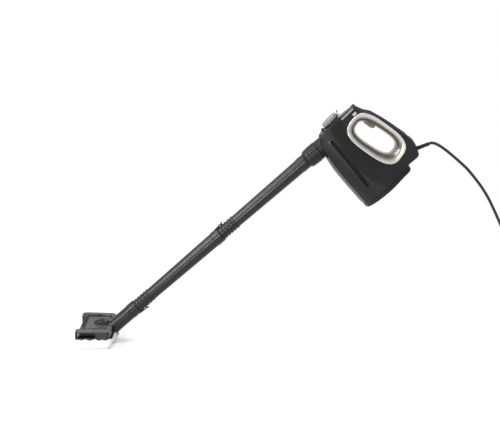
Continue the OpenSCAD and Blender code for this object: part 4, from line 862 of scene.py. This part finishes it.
    def trims(self, paints: Paints) -> None:
        """Bright trims round the hand opening: y = crest (1 - g^2.2)^(1/1.8), less a rounded outer lip."""
        lip_g = 0.085
        start = [0.0, 0.0, 0.004, 0.012, 0.024, 0.04, 0.06, lip_g]
        end = 1 - 0.1 * (1 - np.linspace(0.1, 1, 10)) ** 2
        g = np.concatenate([start, np.linspace(0.11, 0.9, self.trim_steps - len(start) - len(end)), end])
        outer = OPENING_AT + self.trim_r[:, None] * self.way
        inner = OPENING_AT + self.opening_r[:, None] * self.way
        crest = side_w(outer[:, 0], outer[:, 1])[:, None] + self.trim_proud
        place = outer[:, None] + (inner - outer)[:, None] * g[None, :, None]
        lip = 2.0 * (1 - np.sqrt(1 - (1 - np.minimum(g / lip_g, 1)) ** 2))
        y = crest * np.maximum(0, 1 - g**2.2) ** (1 / 1.8) - lip
        y[:, 0] = crest[:, 0] - self.trim_proud - 2.0
        y = np.maximum(y, SPLIT)
        for side, name in SIDES.items():
            points = wand(np.stack([place[..., 0], side * y, place[..., 1]], -1))
            inside = wand(np.array([OPENING_AT[0], side * 4000.0, OPENING_AT[1]]))
            faces = grid_faces(*points.shape[:2], True, False)
            obj = piece(f"ring_trim_{name}_dressed", points, faces, inside)
            # share across the trim, which places the trim's painted shade and painted reflection
            shade_band = obj.data.attributes.new("shade_band", "FLOAT", "POINT")
            shade_band.data.foreach_set("value", self.band_at(corners(obj)))
            settle(obj, wall=1.8)
            paints.dress(obj, "bright_trim", "body", f"ring_trim_{name}")

    def band_at(self, co: Array) -> Array:
        """Share of the way in from the trim's edge, (outer - r) / (outer - opening), for points in metres; it
        places the trim's painted shade and painted reflection.
        """
        c, s = math.cos(LEAN), math.sin(LEAN)
        x, z = co[:, 0] / MM, co[:, 2] / MM
        uv = np.stack([x * c + z * s + GRIP_ALONG, z * c - x * s - GRIP_BELOW], -1) - OPENING_AT
        r = np.linalg.norm(uv, axis=1)
        way = uv / r[:, None]
        outer, inner = trim_radius(way), opening_radius(way)
        return np.clip((outer - r) / (outer - inner), 0, 1)

    def panel(self, paints: Paints) -> None:
        """Curved front panel: along = front + (rim - gap - front) |s|^2.2, across = s half widths."""
        v = np.linspace(BOTTOM + 3.5, -24, 110)[:, None]
        s = np.linspace(-1, 1, 61)[None, :]
        rim = np.array(RIM[:FRONT_ROWS])[:, :2]
        edge = np.interp(v, rim[:, 1], rim[:, 0])
        front = along_table(FRONT, v)
        u = front + (edge - self.panel_gap - front) * np.abs(s) ** 2.2
        points = wand(np.stack(np.broadcast_arrays(u, s * side_w(edge, v), v), -1))
        ahead = wand(np.array([-4000.0, 0, -80.0]))
        panel = sheet("front_panel_dressed", points, ahead, self.wall, 0.4)
        paints.dress(panel, "panel_plastic", "body", "front_panel")

    def strip(self, paints: Paints) -> None:
        """Soft back strip of the grip: h (1 - |s|^3.4)^(1/2) less its sunk edge, and thinner at both ends."""
        first, last = GRIP_ROWS
        rim = self.rim[first * self.per : last * self.per + 1, :2]
        n = len(rim)
        s = np.linspace(-1, 1, 33)
        ends = smooth_step(np.minimum(np.arange(n), np.arange(n)[::-1]) / 7)
        h = (0.8 + 1.6 * ends)[:, None] + self.strip_sunk
        out = h * np.maximum(0, 1 - np.abs(s) ** 3.4)[None, :] ** 0.5 - self.strip_sunk
        across = np.array([1, 0.32]) / math.hypot(1, 0.32)
        place = rim[:, None] + out[..., None] * across
        y = np.broadcast_to(self.strip_half * s, out.shape)
        points = wand(np.stack([place[..., 0], y, place[..., 1]], -1))
        strip = sheet("grip_strip_dressed", points, wand(np.array([4000.0, 0, 1200.0])), 2.4, 0.4)
        paints.dress(strip, "grip_rubber", "body", "grip_strip")

    def shade_strip(self, side: int, paints: Paints) -> None:
        """Dark strip on the groove's floor, painted shade that darkens the groove: at share t of its length
        the half width is 2.8 + t, less at the round ends, and it stands 0.5 + 0.6 (1 - s^4) mm over the
        floor. The near side is -1."""
        a, b = np.array(self.groove_from), np.array(self.groove_to)
        length = float(np.linalg.norm(b - a))
        along = np.linspace(-2.2, length + 3.0, 130)[:, None]
        s = np.linspace(-1, 1, 15)[None, :]
        t = np.clip(along / length, 0, 1)
        over = np.maximum(-along, along - length)
        half = 2.8 + t
        half = half * np.sqrt(np.maximum(0.0004, 1 - (np.maximum(over, 0) / (half + 0.05)) ** 2))
        way = (b - a) / length
        u, v = a[0] + along * way[0] - s * half * way[1], a[1] + along * way[1] + s * half * way[0]
        y = side_w(u, v) - self.groove_depth + 0.5 + 0.6 * (1 - s**4)
        points = wand(np.stack([u, side * y, v], -1))
        beside = wand(np.array([36.0, side * 4000.0, -60.0]))
        # painted shade: a dark strip that darkens the groove's floor
        paints.dress(sheet(f"groove_shade_strip_{SIDES[side]}", points, beside, 0.8), "grip_rubber", "body")

    def small_trim(self, paints: Paints) -> None:
        """Cover, base pan, bars, lens, the grooves' dark strips of painted shade and their studs, and the far
        side's screw rings with flat dark discs of painted shade.
        """
        paints.soften("top_cover", "panel_plastic", "body", 0.5, 3)
        paints.soften("base_pan", "base_plastic", "body", 1.1, 3)
        paints.soften("side_bars", "silver_bar", "body", 0.4, 3)
        paints.dress(moved(softened(paints.frame, "pilot_lens", 1.1, 4), narrowed), "lens", "body")
        for side, name in SIDES.items():
            # dark strips of painted shade in the grooves
            self.shade_strip(side, paints)
            dome = rounded([(0, 1.9), (1.0, 1.8), (1.7, 1.0), (1.9, -0.6), (0, -0.6)], 0.5, 4)
            stud = self.turned(f"groove_stud_{name}", dome, self.stud_at, side, 40)
            paints.dress(stud, "silver_bar", "body")
        ring = [(3.4, -1.5), (3.4, 0.35), (4.5, 0.35), (5.0, -0.6), (5.0, -1.5), (3.4, -1.5)]
        ring = rounded(ring, 0.25, 3)
        # painted shade: a flat dark disc, flush with the shell, stands for the shade inside a screw recess
        # that the shell doesn't have
        plug = rounded([(0, 0.05), (3.0, 0.05), (3.4, -0.3), (3.4, -1.5), (0, -1.5)], 0.2, 2)
        for k, at in enumerate(self.screws):
            paints.dress(self.turned(f"screw_ring_{k}", ring, at, 1, 48), "dark_plastic", "body")
            paints.dress(self.turned(f"screw_shade_disc_{k}", plug, at, 1, 48), "dark_plastic", "body")

    def turned(self, name: str, profile: Array, at: tuple[float, float], side: int, turns: int) -> Piece:
        """Small round piece that stands on a shell's side, at a place along and up."""
        u, v = at
        foot = wand(np.array([u, side * float(side_w(np.array(u), np.array(v))), v]))
        return lathe(name, profile, foot, np.array([0.0, side, 0.0]), turns)

    def build(self, paints: Paints) -> None:
        """Every visible piece of the boiler unit."""
        self.shells(paints)
        self.panel(paints)
        self.trims(paints)
        self.strip(paints)
        self.small_trim(paints)


@dataclass
class FillerCap:
    """Ribbed cap over its tethered base, leaning towards the nozzle."""

    at: tuple[float, float] = (66.0, 30.0)
    ribs: int = 30
    rib_depth: float = 0.95
    tilt: float = 4.5
    base_z: float = 3.8

    def build(self, paints: Paints) -> None:
        """The ribbed grip and the base below it.

        The grip's radius is r - 0.95 (0.5 + 0.5 cos(ribs a))^3 on its side; its top is slightly hollow.
        """
        profile = rounded([
            (0, 8.2), (9, 8.2), (13, 8.3), (15.2, 9.0), (18.2, 9.0), (19.6, 8.75), (20.6, 8.1), (21.3, 7.2),
            (21.3, 4.0), (21.3, 0.5), (21.0, 0.1), (19.0, 0.0), (0, 0.0)], 0.8, 5)
        a = np.linspace(0, 2 * np.pi, self.ribs * 12, endpoint=False)[None, :]
        r, z = profile[:, :1], profile[:, 1:]
        cut = smooth_step((r - 18.6) / 1.6) * smooth_step(z / 0.4 + 0.2)
        r = r - cut * self.rib_depth * (0.5 + 0.5 * np.cos(self.ribs * a)) ** 3
        c, s = math.cos(math.radians(self.tilt)), math.sin(math.radians(self.tilt))
        x, y, h = r * np.cos(a), r * np.sin(a), np.broadcast_to(z, (len(z), a.shape[1])) + self.base_z
        points = wand(np.stack([self.at[0] + x * c - h * s, y, self.at[1] + x * s + h * c], -1))
        obj = piece("cap_grip_dressed", points, grid_faces(*points.shape[:2], False, True))
        paints.dress(settle(obj), "silver_cap", "cap", "cap_grip")
        paints.soften("cap_tether", "dark_plastic", "cap_base", 0.4, 2)
        self.knob(paints)
        self.eyelet(paints)

    def knob(self, paints: Paints) -> None:
        """Small ball of radius 1.9 on a thin stem, of radius 0.8 at its end, at the base's upper end."""
        foot, top = np.array([85.2, 0.0, 33.0]), np.array([92.3, 0.0, 42.2])
        length = float(np.linalg.norm(top - foot))
        a = np.linspace(np.radians(-65), np.pi / 2, 12)
        ball = np.stack([1.9 * np.cos(a), length + 1.9 * np.sin(a)], -1)
        profile = np.vstack([[[0, 0], [1.4, 0], [1.3, 1.2], [0.8, 2.2]], ball])
        obj = lathe("tether_knob", profile, wand(foot), (wand(top) - wand(foot)), 28)
        paints.dress(settle(obj), "dark_plastic", "cap_base")

    def eyelet(self, paints: Paints) -> None:
        """Bright ring at the base's lower end: a round section of radius 0.55 about a circle of 1.7."""
        a = np.linspace(0, 2 * np.pi, 13)
        profile = np.stack([1.7 + 0.55 * np.cos(a), 0.55 * np.sin(a)], -1)
        obj = lathe("tether_eyelet", profile, wand(np.array([41.5, -4.6, 30.4])), np.array([0, -1.0, 0]), 32)
        paints.dress(settle(obj), "silver_bar", "cap_base")


@dataclass
class Wand:
    """Nozzle, lock collar, extension tubes and lever catches."""

    collar_l: float = 38.0
    pitch: float = 271.0
    top_r: float = 17.4
    end_r: float = 15.9
    ring_r: float = 16.6
    bore_r: float = 13.4
    socket_r: float = 18.3
    socket_l: float = 21.0
    trigger_half: float = 6.0

    def collar(self, paints: Paints) -> None:
        """Lock collar with its steps and shallow rings."""
        rows = [(13.9, 0), (13.9, -38), (19, -38), (21, -36), (22.3, -33), (23, -26), (23, -24.5),
                (22.5, -24), (23.4, -23), (23.7, -18), (23.2, -17.5), (23.8, -16), (23.8, -10), (23.1, -9.5),
                (23.5, -8), (23.5, -1.2), (22.8, 0), (13.9, 0)]
        profile = rounded(rows, 0.7, 4)
        obj = lathe("lock_collar_dressed", profile, wand(np.zeros(3)), self.axis(), 144)
        paints.dress(settle(obj), "dark_plastic", "lock_ring", "lock_collar")

    def axis(self) -> Array:
        """Direction up the tubes in the part's frame."""
        return np.array([math.cos(LEAN), 0, math.sin(LEAN)])

    def neck(self, paints: Paints) -> None:
        """Nozzle neck between the collar and the shells."""
        rows = [(0, -69), (13.4, -69), (13.4, 0.4), (22, 0.4), (22.5, 1.2), (22.5, 5), (21.9, 5.5), (22.5, 6),
                (22.5, 26), (0, 26)]
        obj = lathe("nozzle_neck_dressed", rounded(rows, 0.5, 3), wand(np.zeros(3)), self.axis(), 120)
        paints.dress(settle(obj), "dark_plastic", "body", "nozzle_neck")

    def tube(self, node: str, at: float, paints: Paints) -> None:
        """One extension tube with its raised rings and socket collar; at is its upper end along the wand."""
        first = -self.pitch + 5.8
        bore, foot, small, socket = self.bore_r, -self.pitch, self.end_r, self.socket_r
        rows = [(0, foot - 31), (bore, foot - 31), (bore, foot), (small - 0.6, foot), (small, foot + 0.6),
                (small - 0.4, first - 3.2)]
        for k in range(5):
            u = first + 9.3 * k
            rows += [(self.ring_r, u - 2.4), (self.ring_r + 0.1, u), (self.ring_r, u + 2.4),
                     (small - 0.7, u + 3.2), (small - 0.7, u + 5.9)]
        rows += [(self.top_r, -self.socket_l - 0.9), (socket, -self.socket_l), (socket, -3.2),
                 (socket - 0.35, -2.9), (socket - 0.35, -2.3), (socket, -2.0), (socket, -0.8),
                 (socket - 0.8, 0), (13.7, 0), (13.7, -12), (0, -12)]
        obj = lathe(f"{node}_dressed", rounded(rows, 0.6, 3), wand(np.array([at, 0, 0])), self.axis(), 120)
        paints.dress(settle(obj), "tube_plastic", "body", node)

    def trigger(self, paints: Paints) -> None:
        """Slim trigger with three low ridges across its front: each is a bump 0.8 exp(-(d/1.3)^2) high."""
        outline = rounded([
            (122.4, 20.4), (125.4, 21.2), (130, 17), (132, 10), (131.4, 3), (129.6, -6), (128.8, -16),
            (130, -27), (133.5, -36), (138, -43), (136.2, -45.8), (131.6, -45.2), (127.2, -40.5), (125, -31),
            (123.4, -21), (122.8, -8), (122.6, 0), (122.6, 7), (121.8, 13)], 3.0, 4, True)
        step = (np.roll(outline, -1, 0) - outline) / 4
        fine = np.stack([outline + step * k for k in range(4)], 1).reshape(-1, 2)
        bumps = sum(0.8 * np.exp(-(((fine[:, 1] - at) / 1.3) ** 2)) for at in (-22, -28, -34))
        ridge = bumps * (fine[:, 0] < 128)
        fine = fine - np.stack([ridge, 0 * ridge], -1)
        obj = prism("trigger_dressed", fine, -self.trigger_half, self.trigger_half, wand, 0.9)
        paints.dress(obj, "trigger_plastic", "trigger", "trigger")

    def build(self, paints: Paints) -> None:
        """Nozzle, collar, both tubes, the head's neck, the catches and the trigger."""
        self.collar(paints)
        self.neck(paints)
        self.tube("tube_upper", -self.collar_l, paints)
        self.tube("tube_lower", -self.collar_l - self.pitch, paints)
        paints.soften("head_neck", "tube_plastic", "body", 0.5, 2)
        paints.soften("latch_upper", "dark_plastic", "upper_catch", 0.5, 3)
        paints.soften("latch_lower", "dark_plastic", "lower_catch", 0.5, 3)
        self.trigger(paints)


# ---- Floor head ----


@dataclass
class FloorHead:
    """Plate, sole, cloth clamps and the cloth under them."""

    mid: float = -21.0
    half_x: float = 42.0
    half_y: float = 90.0
    under: float = -21.4
    ground: float = -32.0
    notch_x: float = 3.6
    notch_half: float = 22.6
    samples: int = 420

    def outline(self, grow: Array) -> Array:
        """Rounded box outlines (rings, points, 2) with the neck's notch in the rear side, one for each growth
        past the sole. Corner rounding grows with it; the notch's walls and their shares of points stay."""
        steps, at_notch = 6, (0, 5, 6, 7)
        samples, split = self.samples, round(self.samples * 0.84)
        rings = []
        for g in np.atleast_1d(grow):
            x0, x1, y = self.mid - self.half_x - g, self.mid + self.half_x + g, self.half_y + 1.1 * g
            n, notch = self.notch_half, self.notch_x
            box = [(x1, n), (x1, y), (x0, y), (x0, -y), (x1, -y), (x1, -n), (notch, -n), (notch, n)]
            wide = 1.25 * (12 + 0.9 * max(g, -8))
            tight, round_ = (rounded(box, r, steps, True).reshape(8, steps + 1, 2) for r in (3.0, wide))
            loop = np.where(np.isin(np.arange(8), at_notch)[:, None, None], tight, round_).reshape(-1, 2)
            loop = np.vstack([loop, loop[:1]])
            way = np.concatenate([[0], np.cumsum(np.linalg.norm(np.diff(loop, axis=0), axis=1))])
            start = way[6 * (steps + 1) - 1]
            t = np.concatenate([np.linspace(0, start, split, endpoint=False),
                                np.linspace(start, way[-1], samples - split, endpoint=False)])
            rings.append(np.stack([np.interp(t, way, loop[:, k]) for k in (0, 1)], -1))
        return np.array(rings)

    def cloth(self, paints: Paints) -> None:
        """Clipped cloth: rings from its upper edge round its bulge and flat under the sole.

        A fold wave, sum of sines round the edge, moves each ring out and up where it hangs free. The upper
        edge is scalloped along the near side and lies at the sole's underside inside the neck's notch. The
        underside rises as 14 ((x - 7)/21)^2.2 to the rear and 12 ((-52 - x)/18)^2.2 to the front."""
        low_z = self.ground
        rings = [(0.4, -9.4), (1.2, -8.6), (2.6, -8.3), (4.2, -9.0), (5.6, -10.8), (6.6, -13.4), (7.2, -16.6),
                 (7.4, -20.0), (7.1, -23.4), (6.4, -26.6), (5.0, -29.4), (3.0, -31.2), (0.4, -31.95),
                 *[(grow, low_z) for grow in (-4.0, -12.0, -24.0, -38.0)]]
        grow, z = np.array(rings).T
        loop = self.outline(grow)
        a = np.linspace(0, 2 * np.pi, self.samples, endpoint=False)[None, :]
        wave = 0.5 * np.sin(17 * a + 0.4) + 0.35 * np.sin(31 * a + 1.9 + 2 * np.sin(3 * a))
        wave = wave + 0.3 * np.sin(47 * a + 0.7)
        free = np.clip(1 - np.abs(z[:, None] + 17) / 15, 0, 1) ** 0.7
        out = loop - [self.mid, 0]
        out /= np.linalg.norm(out, axis=2)[..., None]
        loop = loop + out * (0.55 * wave * free)[..., None]
        up = np.broadcast_to(z[:, None], loop.shape[:2]) + 0.7 * wave * free * (z[:, None] > -30)
        x, y = loop[..., 0], loop[..., 1]
        near = smooth_step((-y - 80) / 14) * smooth_step((z[:, None] + 16) / 6)
        scallop = 0.5 + 0.5 * np.cos(x * 2 * np.pi / 19 + 0.8 * np.sin(x / 9))
        up = up + near * (3.4 * scallop - 1.2)
        y -= near * (1.6 + 1.2 * scallop)
        low = np.clip((-12 - up) / 20, 0, 1)
        aside = smooth_step((np.abs(y) - 30) / 25)
        rear = 14 * np.clip((x - 7) / 21, 0, 1) ** 2.2 * aside
        ahead = 12 * np.clip((-52 - x) / 18, 0, 1) ** 2.2
        x -= low**0.7 * 5.0 * smooth_step((x - 7) / 20) * aside
        up = up + (rear + ahead) * low
        inside = (np.abs(y) < self.notch_half + 0.8) & (x > 0) & (up > self.under)
        tucked = self.under + (up - self.under) * smooth_step((x - 17) / 5)
        up = np.where(inside, tucked, up)
        skin = np.concatenate([loop, np.maximum(up, low_z)[..., None]], -1)
        top = self.outline(np.array([0.4, -6.0, -20.0, -38.0]))
        roof_z = self.under + 0.1
        lid = np.concatenate([top, np.full((*top.shape[:2], 1), roof_z)], -1)
        roof, centre = (np.full((1, self.samples, 3), [self.mid - 6, 0, level]) for level in (roof_z, low_z))
        points = head(np.concatenate([roof, lid[::-1], skin, centre]))
        obj = piece("mop_cloth", points, grid_faces(len(points), self.samples, False, True))
        paints.dress(obj, "cloth", "floor_head", "cloth_pad")

    def crown(self, obj: Piece) -> None:
        """Raises the far clamp's top by 3.6 (1 - ((x + 45)/62)^2), fading to none at z = 6 and y = 65, and
        by up to 35 percent less away from y = 78."""

        def raised(co: Array) -> Array:
            """Points in metres with their z raised."""
            x, y, z = (co / MM - HEAD_AT).T
            rise = 3.6 * np.maximum(0, 1 - ((x + 45) / 62) ** 2)
            rise = rise * smooth_step((z - 6) / 3.5) * smooth_step((y - 65) / 5)
            rise = rise * (1 - 0.35 * np.clip(np.abs(y - 78) / 19, 0, 1) ** 4)
            return co + np.stack([0 * x, 0 * x, rise], -1) * MM

        moved(obj, raised)

    def hump(self, paints: Paints) -> None:
        """Cover over the pivot: at share s of its length the half width b is 19 (1 - (1-s)^2.2)^0.45 and the
        height h is 13 (1 - (1-s)^2)^0.5 + 0.6, at most 8 - 0.87 x; a section is |y/b|^2.4 + |z/h|^2.4 = 1."""
        s = (1 - np.cos(np.linspace(0, np.pi / 2, 40)))[:, None]
        a = np.linspace(0, np.pi, 49)[None, :]
        b = 19 * (1 - (1 - s) ** 2.2) ** 0.45
        h = np.minimum(13 * np.sqrt(1 - (1 - s) ** 2), 7.4 - 0.87 * (-30.5 + 33.5 * s))
        y = b * np.sign(np.cos(a)) * np.abs(np.cos(a)) ** (2 / 2.4)
        z = 8.6 + (h + 0.6) * np.abs(np.sin(a)) ** (2 / 2.4)
        x = np.broadcast_to(-30.5 + 33.5 * s, y.shape)
        above = head(np.array([-60.0, -900.0, 2000.0]))
        cover = sheet("pivot_hump", head(np.stack([x, y, z], -1)), above, 1.8, 0.5)
        paints.dress(cover, "base_plastic", "floor_head")

    def marks(self, paints: Paints) -> None:
        """Dark sunk strip beside the raised plate, a slot near its corner, and a dark strip of painted shade
        on the far clamp's front face, where the gap before it lies in shadow.
        """
        recess = [(-57.5, 48), (-47, 54), (-47, -50), (-50, -52), (-57.5, -20)]
        slot = [(-12, -54.4), (-10, -55.2), (-5.4, -47.4), (-7.4, -46.6)]

        def placed(points: Array) -> Array:
            """Turns (x, z, y) of a prism into head places."""
            return head(points[..., [0, 2, 1]])

        for name, outline, low, high in (("plate_recess", recess, 7.4, 8.3), ("plate_slot", slot, 9.4, 10.5)):
            strip = prism(name, rounded(outline, 1.0, 4, True), low, high, placed, 0.2)
            paints.dress(strip, "grip_rubber", "floor_head")
        # painted shade: a dark strip on the far clamp's front face, where the gap before it lies in shadow
        shade = rounded([(-44, 8.5), (-44, 12.9), (-24, 13.3), (-5, 12.0), (-5, 8.5)], 0.8, 4, True)
        paints.dress(prism("clamp_shade_strip", shade, 67.4, 68.6, head, 0.2), "grip_rubber", "far_clamp")

    def build(self, paints: Paints) -> None:
        """The head's plate, sole, clamps, hump, marks and cloth."""
        paints.soften("head_plate", "head_plastic", "floor_head", 0.7, 3)
        paints.soften("head_sole", "base_plastic", "floor_head", 0.7, 2)
        paints.soften("clamp_near", "clamp_plastic", "near_clamp", 1.0, 3)
        far = softened(paints.frame, "clamp_far", 1.0, 3)
        self.crown(far)
        paints.dress(far, "clamp_plastic", "far_clamp")
        self.hump(paints)
        self.marks(paints)
        self.cloth(paints)


INNER: dict[str, tuple[str, ...]] = {
    "steel": ("boiler_bolts", "valve_spring", "housing_screws", "latch_pins", "trigger_pin", "head_pin",
              "valve_rod", "clamp_pins", "clamp_springs"),
    "alloy": ("boiler_tank", "boiler_lid", "filler_pipe"),
    "ceramic": ("thermostat", "thermal_cutout", "terminal_block"),
    "silicone": ("boiler_seal", "cap_seal"), "seal_rubber": ("tube_seals", "valve_seal"),
    "lamp_glow": ("pilot_lamp",), "heater": ("heating_element",), "copper": ("steam_pipes",),
    "brass": ("valve_body",), "tie_plastic": ("cord_clamp",), "dark_plastic": ("cap_plug",),
    "black_steel": ("head_screws",),
}


def finish_inner(paints: Paints) -> None:
    """Gives every CAD node that stays its own finish."""
    for slot, nodes in INNER.items():
        for node in nodes:
            for place in paints.frame["nodes"][node].material_slots:
                place.material = paints.get(slot)
            LOG.info("%s: kept, finished as %s", node, slot)


def main() -> None:
    """Builds the object in order and reports each piece."""
    logging.basicConfig(level=logging.INFO, format="%(name)s: %(message)s")
    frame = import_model()
    paints = Paints(frame)
    Studio().build()
    for part in (Lead(), BoilerUnit(), FillerCap(), Wand(), FloorHead()):
        part.build(paints)
    finish_inner(paints)


if __name__ == "__main__":
    main()
